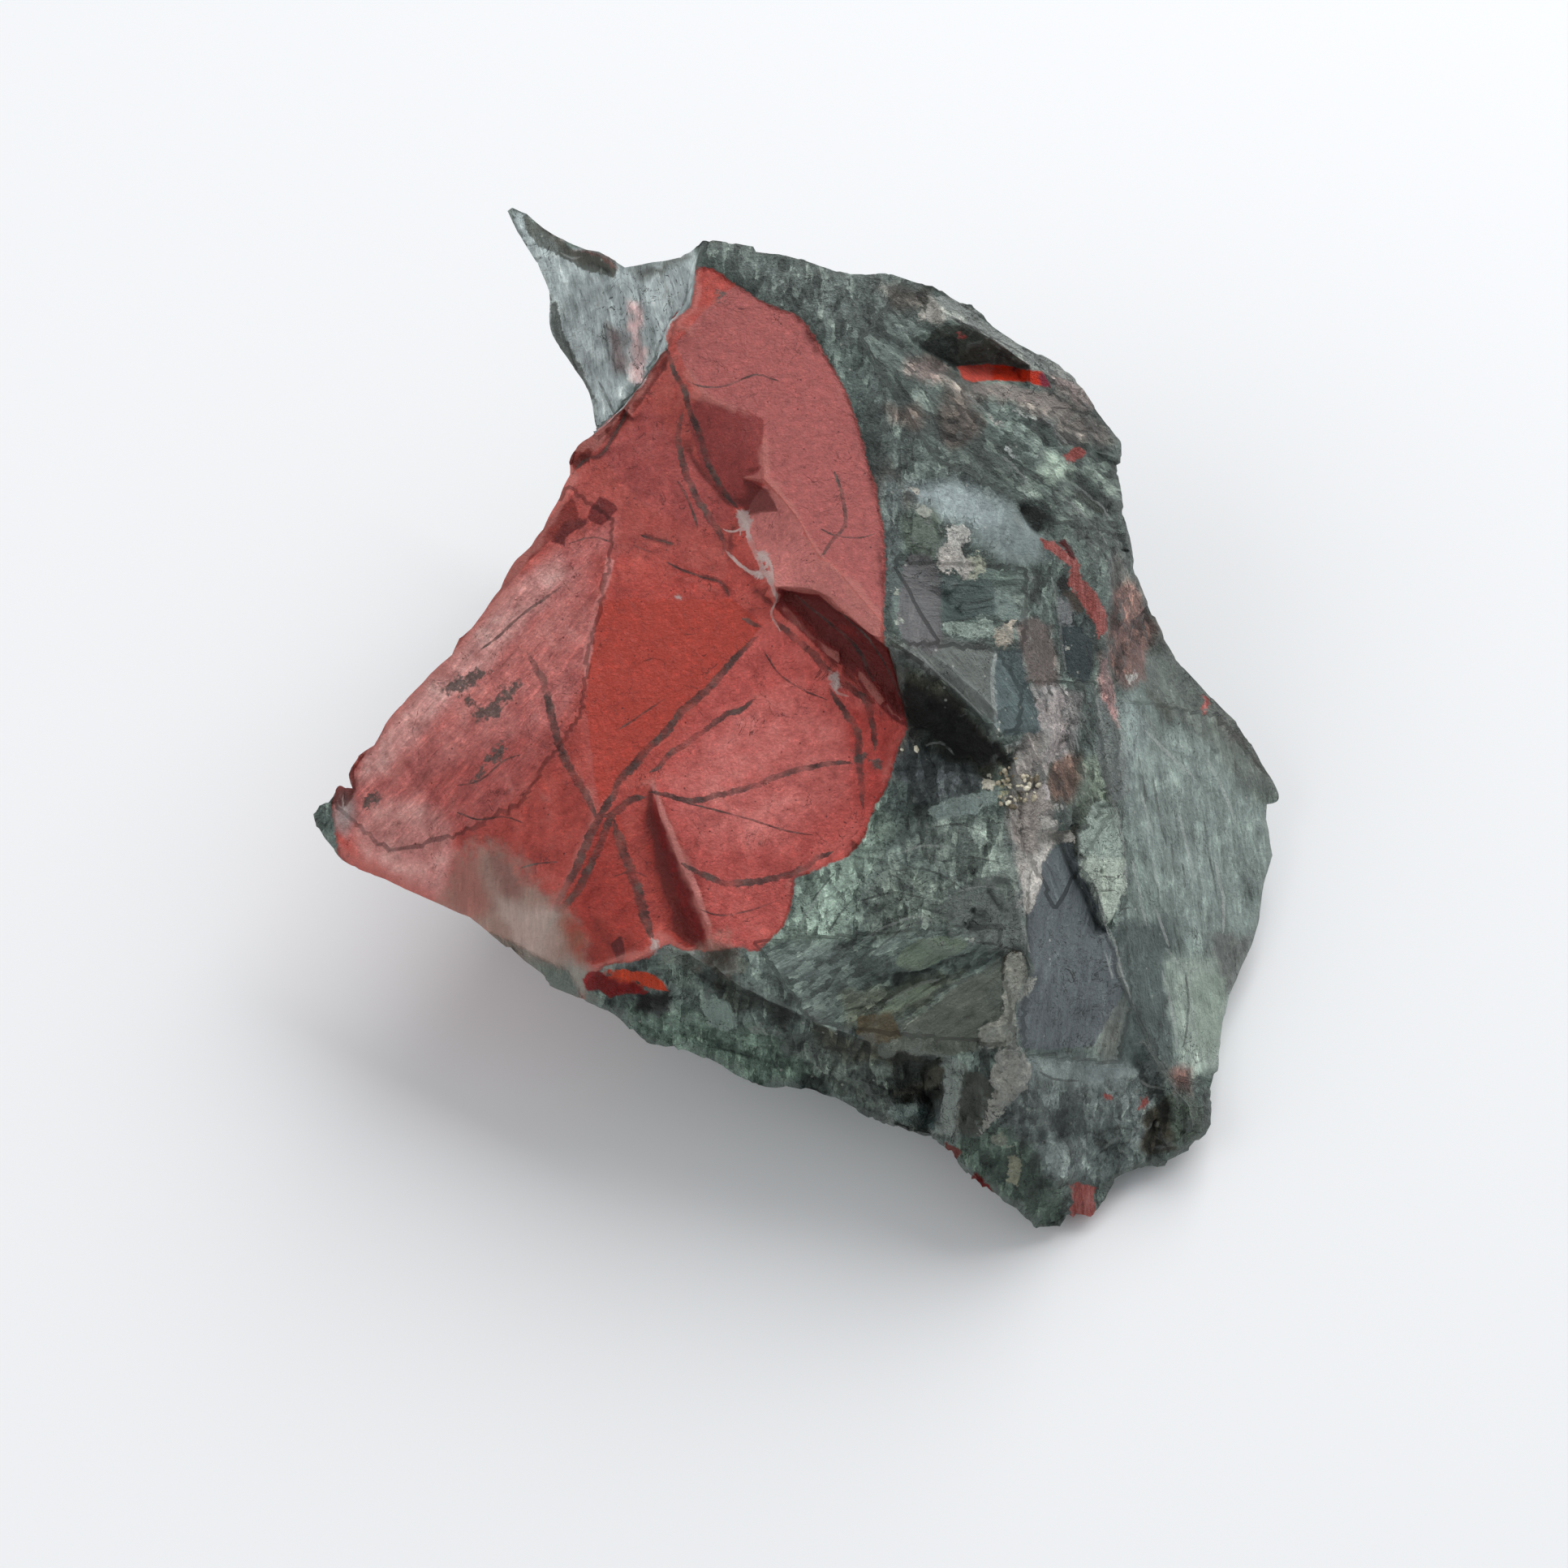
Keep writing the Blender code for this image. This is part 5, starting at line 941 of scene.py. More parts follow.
# Hair-thin cracks, and the pale worn edges of plates, in the green stone.
DARK_CRACKS = (
    (
        (1.5, "1346 1086, 1352 1106, 1360 1128, 1366 1146"),
        (2.0, "1195 1158, 1216 1162, 1245 1169, 1262 1173"),
        (2.6, "1163 739, 1185 743, 1210 742, 1226 737"), (1.8, "1164 765, 1185 763, 1212 763"),
        (2.0, "1130 476, 1142 495, 1152 515, 1160 535, 1164 550"),
        (1.8, "1240 492, 1252 496, 1264 499"),
        (2.0, "1162 386, 1185 398, 1202 404, 1222 421, 1245 436, 1266 450"),
        (1.5, "1180 372, 1202 386, 1222 398, 1246 414"), (1.8, "1292 500, 1318 504, 1346 513"),
        (2.2, "1420 960, 1428 1000, 1437 1042"), (2.0, "1456 1062, 1459 1094"),
        (2.0, "1460 1200, 1464 1240, 1458 1290"),
        (2.6, "1424 1356, 1432 1376, 1428 1398, 1442 1420"),
        (2.4, "738 470, 746 486, 752 500, 759 514"), (1.6, "1345 1081, 1358 1080, 1373 1081"),
        (2.0, "1100 1074, 1130 1070, 1160 1079, 1190 1098"),
        (2.2, "905 1225, 930 1236, 960 1247, 985 1256"),
        (2.4, "1010 1292, 1045 1298, 1080 1304, 1104 1310"),
        (1.8, "1118 1236, 1150 1212, 1190 1196"),
        (1.8, "1038 1246, 1080 1236, 1116 1222"), (2.0, "700 420, 704 440, 712 458"),
        (1.8, "744 396, 748 420, 752 444"),
    ),
    (
        (2.2, "1333 846, 1337 862, 1331 880"), (2.2, "1426 1086, 1429 1116"),
        (1.8, "1443 1040, 1447 1078"),
        (1.8, "1162 748, 1190 752, 1218 749"), (2.0, "1170 722, 1195 719, 1212 723"),
        (1.5, "1202 402, 1230 418, 1262 438, 1290 458"), (1.8, "1300 462, 1320 486, 1340 505"),
        (2.0, "1310 520, 1330 530, 1352 534"), (1.8, "1352 1098, 1374 1097"),
        (2.0, "1482 1010, 1492 1060, 1500 1100"),
        (1.8, "1402 930, 1408 960, 1412 990"), (2.0, "1060 1110, 1100 1100, 1140 1108"),
        (1.8, "1150 1020, 1180 1016, 1210 1024"), (1.8, "1160 1062, 1195 1056, 1230 1062"),
        (2.0, "1060 1180, 1090 1160, 1110 1146"), (1.6, "1000 1110, 1016 1090, 1030 1074"),
        (1.6, "1020 1150, 1034 1128, 1050 1108"), (1.8, "664 330, 672 350, 680 372"),
        (1.8, "786 350, 790 372, 788 396"),
        (2.0, "1280 1320, 1300 1330, 1330 1332"), (1.8, "1350 1400, 1372 1390, 1400 1392"),
        (2.0, "850 1276, 880 1290, 920 1300"), (2.0, "1060 1330, 1090 1342, 1120 1362"),
    ),
)
for number, lines in enumerate(DARK_CRACKS, 1):
    seams_marked(f"dark_crack_{number}", lines)
PALE_EDGES = (
    (
        (2.6, "1364 976, 1373 992, 1379 1014, 1384 1040, 1387 1066, 1388 1096"),
        (2.0, "1366 1142, 1373 1162, 1379 1186, 1385 1210, 1392 1232"),
        (3.2, "1240 1050, 1248 1080, 1254 1110, 1262 1150, 1269 1172"),
        (3.4, "1228 804, 1223 830, 1224 862, 1230 892"),
        (1.8, "1122 793, 1150 824, 1180 852, 1212 882"), (2.2, "1378 896, 1386 918, 1390 936"),
        (2.6, "1412 900, 1442 930, 1474 962"), (2.4, "1406 975, 1413 1000, 1421 1030"),
        (2.4, "1420 1058, 1428 1096"), (2.4, "1452 1000, 1462 1040, 1471 1082"),
        (2.4, "1482 925, 1502 962, 1522 1012"),
        (2.0, "1436 1168, 1452 1188"), (2.0, "1296 712, 1303 742, 1308 790, 1314 826"),
        (3.0, "1150 366, 1166 379, 1186 395, 1206 405, 1232 422, 1258 440, 1282 458"),
        (2.0, "1300 606, 1330 628, 1352 652, 1366 672"), (2.2, "1190 482, 1206 496, 1222 510"),
        (2.2, "1284 512, 1304 532, 1318 548"), (1.1, "1140 918, 1150 920, 1162 922, 1176 932"),
        (2.4, "868 1194, 884 1200, 905 1196"), (1.8, "1000 1258, 1018 1266, 1040 1280"),
        (2.0, "1172 1310, 1168 1340, 1164 1370"), (2.0, "1360 1172, 1366 1190, 1372 1210"),
        (1.8, "690 312, 706 318, 716 316"), (2.0, "655 300, 668 330, 676 362"),
    ),
    (
        (2.0, "1356 1122, 1363 1142, 1368 1160"), (1.8, "1244 998, 1247 1034, 1251 1072"),
        (2.4, "1424 1118, 1434 1146, 1440 1166"), (2.6, "1432 1196, 1444 1240, 1450 1290"),
        (2.6, "1498 1060, 1508 1110, 1506 1150"), (2.4, "1396 1060, 1404 1100, 1414 1140"),
        (2.0, "1346 840, 1352 862, 1362 900, 1370 930"), (2.0, "1318 900, 1326 912, 1330 926"),
        (2.0, "1236 560, 1250 574, 1268 596"), (2.0, "1330 600, 1352 618, 1374 640"),
        (2.0, "1180 362, 1206 380, 1240 402, 1270 420"),
        (1.8, "1062 1160, 1090 1142, 1124 1130, 1160 1136"),
        (1.8, "1180 1098, 1212 1092, 1240 1096"), (1.8, "1090 1236, 1124 1216, 1160 1206"),
        (2.0, "984 1140, 1000 1118, 1012 1096"), (1.8, "1106 1052, 1140 1042, 1180 1046"),
        (2.0, "740 330, 742 356, 736 380"), (2.4, "812 340, 820 352, 816 376"),
        (2.0, "1404 1330, 1420 1340, 1436 1342"),
    ),
)
for number, lines in enumerate(PALE_EDGES, 1):
    seams_marked(f"pale_edge_{number}", lines)
marked("green_tone", green_tones)
marked("red_tone", red_tones)

# Where the green stone split along its grain it shows fine streaks, which run its own way.
GRAIN_WAYS = (  # degrees from straight down, towards the right, and where
    (8, "1372 860, 1500 880, 1590 985, 1560 1170, 1510 1330, 1440 1330, 1393 1235, 1384 1080"),
    (-8, "1268 1060, 1320 1032, 1380 1200, 1393 1240, 1380 1310, 1262 1300"),
    (12, "600 240, 870 300, 822 429, 736 545, 690 460"),
    (52, "1120 340, 1230 395, 1385 540, 1385 660, 1300 640, 1150 560, 1060 420"),
    (85, "1100 690, 1262 700, 1262 800, 1160 800"),
    (38, "1100 790, 1228 800, 1290 895, 1230 905"),
    (20, "1262 840, 1345 840, 1370 1000, 1300 1120, 1240 1000"),
    (-62, "930 1160, 1230 1140, 1250 1290, 1000 1260"),
    (-42, "405 985, 440 920, 560 770, 640 680, 700 600, 755 640, 750 700, 728 790, 715 880,"
        "640 990, 560 1030, 480 1050"),
)
turn = np.zeros(len(points))
streaky = np.zeros(len(points))
for degrees, text in GRAIN_WAYS:
    inside = within(text)
    turn = np.where(inside > 0, math.radians(degrees), turn)
    streaky = np.maximum(streaky, eased(inside, -10, 12))
cos, sin = np.cos(turn), np.sin(turn)
across_grain = (spots[:, 0] * cos - spots[:, 1] * sin) / PIXELS_PER_MM
along_grain = (spots[:, 0] * sin + spots[:, 1] * cos) / PIXELS_PER_MM
marked("grain", np.stack([across_grain, along_grain, depth], 1))
marked("streaky", streaky)

# ---- The splinters, crusts and spots in the green stone ----------------------------------------
# Bright orange-red splinters, rose spots, pale green crusts and smoky windows of chalcedony, all
# grown into the lump, and painted shade in hollows where the light hardly reaches.
clean_faces("splinter", (
    ((232, 98, 84), "1178 452, 1192 450, 1216 449, 1224 450, 1224 469, 1216 469, 1196 471,"
        "1185 466"),
    ((226, 62, 26), "1222 450, 1240 450, 1264 456, 1284 457, 1288 476, 1281 474, 1264 468,"
        "1243 470, 1222 469"),
    ((120, 12, 12), "1228 450, 1250 452, 1276 461, 1258 463, 1240 458"),
    ((150, 48, 70), "1266 459, 1284 457, 1290 466, 1296 478, 1288 477, 1276 470, 1266 466"),
    ((232, 82, 50), "744 1193, 756 1198, 770 1195, 780 1199, 796 1197, 808 1203, 817 1210,"
        "825 1222, 806 1218, 790 1216, 786 1210, 764 1210, 748 1202"),
    ((140, 34, 26), "716 1206, 728 1196, 742 1200, 746 1205, 762 1212, 784 1213, 788 1219,"
        "802 1222, 790 1227, 766 1224, 752 1230, 738 1220, 724 1222"),
    ((128, 74, 68), "1162 1408, 1180 1414, 1185 1420, 1176 1430, 1166 1420"),
    ((120, 26, 18), "1196 1442, 1210 1450, 1226 1470, 1208 1462, 1200 1452"),
    ((92, 8, 8), "1304 668, 1312 663, 1318 673, 1326 690, 1320 692, 1313 681"),
), 0.15)
marked("rose_spot", broken_within(
    "1282 661, 1300 662, 1308 672, 1318 690, 1330 706, 1342 722, 1354 742, 1361 755, 1363 775,"
    "1358 790, 1350 780, 1342 762, 1332 745, 1326 728, 1318 712, 1308 700, 1300 685, 1286 668",
    "1310 556, 1316 550, 1326 549, 1336 555, 1338 565, 1328 571, 1317 567",
    "1176 411, 1188 412, 1190 418, 1178 419",
    "1318 1460, 1335 1458, 1355 1462, 1355 1480, 1350 1498, 1320 1499",
    "1483 858, 1491 860, 1492 878, 1484 877",
    "1357 1350, 1367 1350, 1368 1360, 1358 1360",
    "1406 1354, 1416 1354, 1416 1364, 1406 1364",
))
marked("mint_patch", broken_within(
    "1470 1210, 1510 1200, 1500 1300, 1478 1290",
))
marked("smoky_window", broken_within(
    "556 1066, 578 1046, 604 1038, 624 1046, 642 1064, 664 1094, 690 1114, 704 1134, 716 1168,"
    "722 1196, 737 1240, 700 1236, 640 1200, 590 1160, 546 1130",
    "868 1172, 878 1162, 900 1160, 915 1172, 912 1190, 895 1200, 874 1192",
))
marked("white_quartz", within(
    "907 630, 921 629, 927 640, 921 653, 911 648",
    "932 678, 945 678, 948 690, 936 692",
    "1022 828, 1032 828, 1036 846, 1030 852, 1022 842",
    "832 731, 839 731, 839 738, 832 738",
    "924 700, 942 708, 940 714, 922 706",
    "802 1157, 811 1158, 812 1175, 803 1174",
))
# painted shadow: hollows and slots where the light hardly reaches, darkened toward black
shadowed_hollow = broken_within(
    "1140 424, 1152 416, 1166 414, 1176 420, 1178 430, 1170 438, 1152 437",
    "1170 441, 1180 437, 1194 441, 1190 450, 1174 451",
    "1148 408, 1158 407, 1159 415, 1149 418",
    "1206 432, 1222 434, 1246 443, 1258 452, 1236 450, 1210 448",
    "1112 850, 1130 848, 1160 868, 1190 880, 1200 902, 1236 925, 1222 942, 1200 938, 1160 914,"
    "1118 895",
    "1264 628, 1276 622, 1288 628, 1280 636, 1268 636", "1284 640, 1296 644, 1292 652, 1282 648",
    "1330 862, 1336 862, 1338 872, 1331 880",
    "1108 606, 1124 606, 1134 614, 1130 622, 1116 620",
    "1098 1296, 1150 1298, 1162 1306, 1150 1317, 1122 1330, 1106 1342, 1096 1330",
    "1104 1359, 1130 1350, 1150 1338, 1163 1337, 1159 1350, 1153 1380, 1149 1392, 1146 1378,"
    "1138 1360",
    "1012 1298, 1046 1294, 1090 1292, 1050 1301", "908 1227, 945 1237, 985 1257, 1004 1255,"
        "984 1261, 940 1243",
    "1098 1204, 1130 1199, 1162 1184, 1192 1174, 1194 1179, 1164 1191, 1130 1206, 1100 1209",
    "808 1222, 830 1228, 826 1242, 806 1236",
)
marked("shadowed_hollow", shadowed_hollow)


smoke_ground = np.tile(dye(156, 138, 126), (len(points), 1))
marked("smoky_tone", toned(smoke_ground, fretted, (
    ((158, 112, 102), 12, "548 1066, 590 1056, 604 1120, 566 1144"),
    ((132, 104, 96), 9, "600 1040, 626 1050, 650 1092, 642 1116, 616 1098"),
    ((184, 170, 160), 12, "616 1112, 690 1124, 682 1180, 636 1184"),
    ((146, 155, 146), 10, "644 1184, 722 1192, 740 1240, 680 1222"),
    ((146, 100, 82), 8, "690 1126, 714 1142, 722 1190, 700 1172"),
    ((200, 190, 182), 4, "566 1142, 600 1158, 640 1192, 660 1200, 640 1204, 590 1170"),
    ((92, 78, 68), 6, "868 1172, 884 1164, 902 1162, 915 1174, 910 1190, 894 1196, 876 1190"),
)))


# The material: procedural, in millimetres on the lump's own coordinates.
stone_finish = bpy.data.materials.new("bloodstone_jasper")
stone_finish.use_nodes = True


def placed(tree, kind, settings=None, **inputs):
    """A node with its settings, and its inputs set or fed: in0 stands for the first input."""
    node = tree.nodes.new(kind)
    for name, value in (settings or {}).items():
        setattr(node, name, value)
    for name, value in inputs.items():
        numbered = name[:2] == "in" and name[2:].isdigit()
        slot = node.inputs[int(name[2:]) if numbered else name]
        if isinstance(value, bpy.types.NodeSocket):
            tree.links.new(value, slot)
        else:
            slot.default_value = value
    return node


def reckoned(tree, operation, *values):
    """A sum on numbers that change over the surface."""
    inputs = {f"in{k}": v for k, v in enumerate(values)}
    return placed(tree, "ShaderNodeMath", {"operation": operation}, **inputs).outputs[0]


def pointed(tree, operation, *values, output="Vector", **others):
    """The same on places and directions."""
    others.update({f"in{k}": v for k, v in enumerate(values)})
    return placed(tree, "ShaderNodeVectorMath", {"operation": operation}, **others).outputs[output]


def spread(tree, value, low, high, to_low=0.0, to_high=1.0):
    """A soft step from one value to another while the first number goes from low to high."""
    return placed(tree, "ShaderNodeMapRange", {"interpolation_type": "SMOOTHSTEP"}, in0=value,
                  in1=low, in2=high, in3=to_low, in4=to_high).outputs[0]


def dyed(tree, mask, under, over, way="MIX"):
    """Lays a second colour over a first where the mask says."""
    return placed(tree, "ShaderNodeMix", {"data_type": "RGBA", "blend_type": way}, in0=mask,
                  in6=under, in7=over).outputs[2]


def shaded_by(tree, colour, shade, share=1.0):
    """A colour under its share of a shade."""
    whole = dyed(tree, 1.0, colour, shade, "MULTIPLY")
    return whole if share == 1.0 else dyed(tree, share, colour, whole)


def cloudy(tree, where, scale, detail=4.0, roughness=0.55, distortion=0.0):
    """Cloudy unevenness from about 0.25 to 0.75, with scale waves to the millimetre."""
    return placed(tree, "ShaderNodeTexNoise", None, Vector=where, Scale=scale, Detail=detail,
                  Roughness=roughness, Distortion=distortion).outputs["Fac"]


def new_group(name, inputs, outputs):
    """An empty shader node group with named sockets, and its two end nodes."""
    group = bpy.data.node_groups.new(name, "ShaderNodeTree")
    for label, kind, value in inputs:
        socket = group.interface.new_socket(label, in_out="INPUT", socket_type=kind)
        if value is not None:
            socket.default_value = value
    for label, kind in outputs:
        group.interface.new_socket(label, in_out="OUTPUT", socket_type=kind)
    return group, group.nodes.new("NodeGroupInput"), group.nodes.new("NodeGroupOutput")


# A marking's edge, frayed by the grain of the stone.
frayed_edge, given, result = new_group(
    "frayed_edge",
    (("Inside", "NodeSocketFloat", 0.0), ("Grain", "NodeSocketFloat", 0.5),
     ("Fray", "NodeSocketFloat", 3.0), ("Softness", "NodeSocketFloat", 1.5)),
    (("Mask", "NodeSocketFloat"),),
)
fray = reckoned(frayed_edge, "MULTIPLY",
                reckoned(frayed_edge, "SUBTRACT", given.outputs["Grain"], 0.5),
                reckoned(frayed_edge, "MULTIPLY", given.outputs["Fray"], 5.0))
moved = reckoned(frayed_edge, "ADD", given.outputs["Inside"], fray)
soft = given.outputs["Softness"]
mask = spread(frayed_edge, moved, reckoned(frayed_edge, "MULTIPLY", soft, -1.0), soft)
frayed_edge.links.new(mask, result.inputs["Mask"])

# A thin seam that wavers, thins out and breaks off in places.
thin_seam, given, result = new_group(
    "thin_seam",
    (("Layer", "NodeSocketVector", None), ("Waver", "NodeSocketFloat", 0.5),
     ("Fine", "NodeSocketFloat", 0.5), ("Gaps", "NodeSocketFloat", 0.5),
     ("Broken", "NodeSocketFloat", 0.35)),
    (("Mask", "NodeSocketFloat"),),
)
parts = placed(thin_seam, "ShaderNodeSeparateXYZ", None, in0=given.outputs["Layer"])
offset = reckoned(thin_seam, "MULTIPLY_ADD", given.outputs["Waver"], 1.2,
                  reckoned(thin_seam, "SUBTRACT", parts.outputs[0], 0.6))
edge = reckoned(thin_seam, "MULTIPLY_ADD", given.outputs["Fine"], 1.2,
                reckoned(thin_seam, "SUBTRACT", reckoned(thin_seam, "ABSOLUTE", offset), 0.6))
line = spread(thin_seam, edge, 0.58, 0.88, 1.0, 0.0)
near = spread(thin_seam, parts.outputs[1], 2.2, 3.0, 1.0, 0.0)
gaps = spread(thin_seam, given.outputs["Gaps"], 0.3,
              reckoned(thin_seam, "ADD", 0.3, given.outputs["Broken"]), 0.35, 1.0)
mask = reckoned(thin_seam, "MULTIPLY", reckoned(thin_seam, "MULTIPLY", line, near), gaps)
thin_seam.links.new(mask, result.inputs["Mask"])

tree = stone_finish.node_tree
shader = tree.nodes["Principled BSDF"]
place = placed(tree, "ShaderNodeTexCoord").outputs["Object"]
where = pointed(tree, "SCALE", place, Scale=MM)
coarse_grain = cloudy(tree, where, 0.75, 4.0, 0.6)
small_grain = cloudy(tree, where, 2.0, 3.0, 0.62)
gap_grain = cloudy(tree, where, 0.45, 3.0)


def marking(name, output="Fac"):
    """A marking that the mesh carries."""
    return placed(tree, "ShaderNodeAttribute", {"attribute_name": name}).outputs[output]


def masked(name, fray=3.0, grain=small_grain, softness=1.5):
    """Where a marking covers the stone, with its frayed edge."""
    return placed(tree, "ShaderNodeGroup", {"node_tree": frayed_edge}, Inside=marking(name),
                  Fray=fray, Grain=grain, Softness=softness).outputs["Mask"]


def seam_mask(name):
    """Where the thin seams of a layer run."""
    return placed(tree, "ShaderNodeGroup", {"node_tree": thin_seam}, Waver=coarse_grain,
                  Fine=small_grain, Gaps=gap_grain, Layer=marking(name, "Vector")).outputs["Mask"]


def laid(under, over, mask, share=1.0):
    """Lays one colour of the stone over another where a mask says, at most by the share."""
    if share != 1.0:
        mask = reckoned(tree, "MULTIPLY", share, mask)
    return dyed(tree, mask, under, over)


def ramped(value, *stops, tree=stone_finish.node_tree):
    """A run of colours, each at its own value."""
    node = placed(tree, "ShaderNodeValToRGB", None, in0=value)
    ramp = node.color_ramp
    while len(ramp.elements) < len(stops):
        ramp.elements.new(0.5)
    for element, (at, colour) in zip(ramp.elements, stops):
        element.position = at
        element.color = (*colour, 1)
    return node.outputs[0]


# Fine broken grain that stands up in the relief, with painted shade in its lows and light on its
# highs.
fine_grain, given, result = new_group(
    "fine_grain",
    (("Where", "NodeSocketVector", None), ("Size", "NodeSocketFloat", 1.0)),
    (("Height", "NodeSocketFloat"), ("Shade", "NodeSocketColor"), ("Threads", "NodeSocketFloat")),
)
at = pointed(fine_grain, "SCALE", given.outputs["Where"], Scale=given.outputs["Size"])
coarse = cloudy(fine_grain, at, 0.9, 4.0, 0.70, 0.5)
small = cloudy(fine_grain, at, 3.2, 3.0, 0.75)
height = reckoned(fine_grain, "MULTIPLY_ADD", coarse, 0.58,
                  reckoned(fine_grain, "MULTIPLY", small, 0.42))
thread = reckoned(fine_grain, "ABSOLUTE", reckoned(fine_grain, "SUBTRACT", cloudy(
    fine_grain, at, 0.42, 4.0, 0.6, 0.9), 0.5))
# painted shade and painted light: darker where the grain is low, lighter where it is high
shade = ramped(height, (0.36, (0.30, 0.31, 0.30)), (0.43, (0.78, 0.78, 0.78)),
               (0.50, (1.03, 1.03, 1.03)), (0.56, (1.28, 1.28, 1.27)),
               (0.63, (2.0, 1.96, 1.9)), tree=fine_grain)
fine_grain.links.new(height, result.inputs["Height"])
fine_grain.links.new(shade, result.inputs["Shade"])
fine_grain.links.new(spread(fine_grain, thread, 0.0, 0.012, 1.0, 0.0), result.inputs["Threads"])

# Small plates broken off at their own slant: a random tone each, with painted shading across the
# slant.
small_plates, given, result = new_group(
    "small_plates",
    (("Where", "NodeSocketVector", None), ("Size", "NodeSocketFloat", 1.0)),
    (("Height", "NodeSocketFloat"), ("Shade", "NodeSocketColor")),
)
MIDDLE = (0.5, 0.5, 0.5)
at = pointed(small_plates, "SCALE", given.outputs["Where"], Scale=given.outputs["Size"])
bent = placed(small_plates, "ShaderNodeTexNoise", None, Vector=at, Scale=1.3, Detail=2.0,
              Roughness=0.6).outputs["Color"]
bent = pointed(small_plates, "SUBTRACT", bent, MIDDLE)
at = pointed(small_plates, "MULTIPLY_ADD", bent, (1.3, 1.3, 1.3), at)
plate = placed(small_plates, "ShaderNodeTexVoronoi", None, Vector=at, Scale=1.0, Randomness=1.0)
lean = pointed(small_plates, "SUBTRACT", plate.outputs["Color"], MIDDLE)
away = pointed(small_plates, "SUBTRACT", at, plate.outputs["Position"])
slant = pointed(small_plates, "DOT_PRODUCT", away, lean, output="Value")
level = placed(small_plates, "ShaderNodeSeparateXYZ", None, in0=plate.outputs["Color"]).outputs[1]
# painted shading: each plate lighter or darker along its slant, over its random tone
raised = reckoned(small_plates, "MULTIPLY_ADD", slant, 0.9, level)
shade = ramped(raised, (0.0, (0.45, 0.47, 0.46)), (0.30, (0.84, 0.85, 0.84)),
               (0.60, (1.08, 1.08, 1.08)), (0.85, (1.42, 1.42, 1.40)),
               (1.0, (2.0, 1.98, 1.92)), tree=small_plates)
small_plates.links.new(reckoned(small_plates, "MULTIPLY_ADD", level, 0.35, slant),
                       result.inputs["Height"])
small_plates.links.new(shade, result.inputs["Shade"])

# The green stone: its tones, with cloudy drifts, plates, fine grain and streaks.
streaky = marking("streaky")
smooth_face = marking("smooth_face")
along = marking("grain", "Vector")
grit = placed(tree, "ShaderNodeGroup", {"node_tree": fine_grain}, Where=where, Size=1.0)
run = pointed(tree, "MULTIPLY", along, (1.0, 0.16, 0.4))
streaked = placed(tree, "ShaderNodeGroup", {"node_tree": fine_grain}, Where=run, Size=1.25)
slanted = pointed(tree, "MULTIPLY", along, (1.0, 0.42, 0.7))
wide_plates, narrow_plates = (
    placed(tree, "ShaderNodeGroup", {"node_tree": small_plates}, Where=slanted, Size=size)
    for size in (0.55, 1.5))
cloud = ramped(cloudy(tree, where, 0.30, 4.0, 0.6, 0.8), (0.30, (0.80, 0.81, 0.80)),
               (0.45, (1.25, 1.25, 1.25)), (0.58, (1.45, 1.45, 1.45)), (0.72, (1.95, 1.93, 1.88)))
green = shaded_by(tree, marking("green_tone", "Vector"), cloud, 0.7)
broken_share = spread(tree, smooth_face, 0.0, 1.0, 0.85, 0.25)
for plated in (wide_plates, narrow_plates):
    green = shaded_by(tree, green, plated.outputs["Shade"], broken_share)
shaded = shaded_by(tree, green, grit.outputs["Shade"])
streaked_green = shaded_by(tree, green, streaked.outputs["Shade"])
green = dyed(tree, spread(tree, smooth_face, 0.0, 1.0, 1.0, 0.45), green, shaded)
green = laid(green, streaked_green, streaky, 0.8)
bend_of = marking("hollow")


def with_faces(under, name, shade, share, fray, strength=1.0):
    """Lays the clean faces of one layer over a colour, each with its own grain."""
    grained = shaded_by(tree, marking(name + "_tone", "Vector"), shade, share)
    return laid(under, grained, masked(name + "_edge", fray, small_grain, 1.3), strength)


green = with_faces(green, "green_face", streaked.outputs["Shade"], 0.55, 2.2, 0.86)
green = with_faces(green, "green_crust", grit.outputs["Shade"], 0.9, 3.6, 0.90)

# Painted shade in its hollows, paler proud ridges, dark threads, pale chips, worn edges and cracks.
HOLLOW_SHADE_GREEN = (0.020, 0.026, 0.024, 1)
WORN_AND_LIT_GREEN = (0.29, 0.33, 0.31, 1)
THREAD_GREEN = (0.025, 0.030, 0.027, 1)
CHIP_GREEN = (0.42, 0.44, 0.40, 1)
EDGE_GREEN = (0.50, 0.53, 0.51, 1)
CRACK_GREEN = (0.022, 0.026, 0.023, 1)
UNLIT_GREEN = (0.010, 0.012, 0.010, 1)
# painted shade: darker where the surface is hollow
green = dyed(tree, spread(tree, bend_of, 0.03, 0.20, 0.0, 0.5), green, HOLLOW_SHADE_GREEN)
# painted highlight and wear: paler where the surface is proud
green = dyed(tree, spread(tree, bend_of, -0.03, -0.16, 0.0, 0.35), green, WORN_AND_LIT_GREEN)
sparse = spread(tree, cloudy(tree, where, 0.13, 3.0), 0.45, 0.6)
green = laid(green, THREAD_GREEN, grit.outputs["Threads"], sparse)
chips = placed(tree, "ShaderNodeTexVoronoi", None, Vector=where, Scale=0.75, Randomness=1.0)
pale_chip = spread(tree, chips.outputs["Distance"], 0.07, 0.13, 0.8, 0.0)
chosen = spread(tree, cloudy(tree, where, 0.5, 2.0), 0.52, 0.56)
green = laid(green, CHIP_GREEN, chosen, pale_chip)
for number in range(1, len(PALE_EDGES) + 1):
    green = laid(green, EDGE_GREEN, seam_mask(f"pale_edge_{number}"), 0.45)
for number in range(1, len(DARK_CRACKS) + 1):
    green = laid(green, CRACK_GREEN, seam_mask(f"dark_crack_{number}"), 0.65)
# painted shadow laid over the shaded hollows
green = laid(green, dyed(tree, 0.66, shaded, UNLIT_GREEN),
             masked("shadowed_hollow", 3.0, small_grain, 3.0))
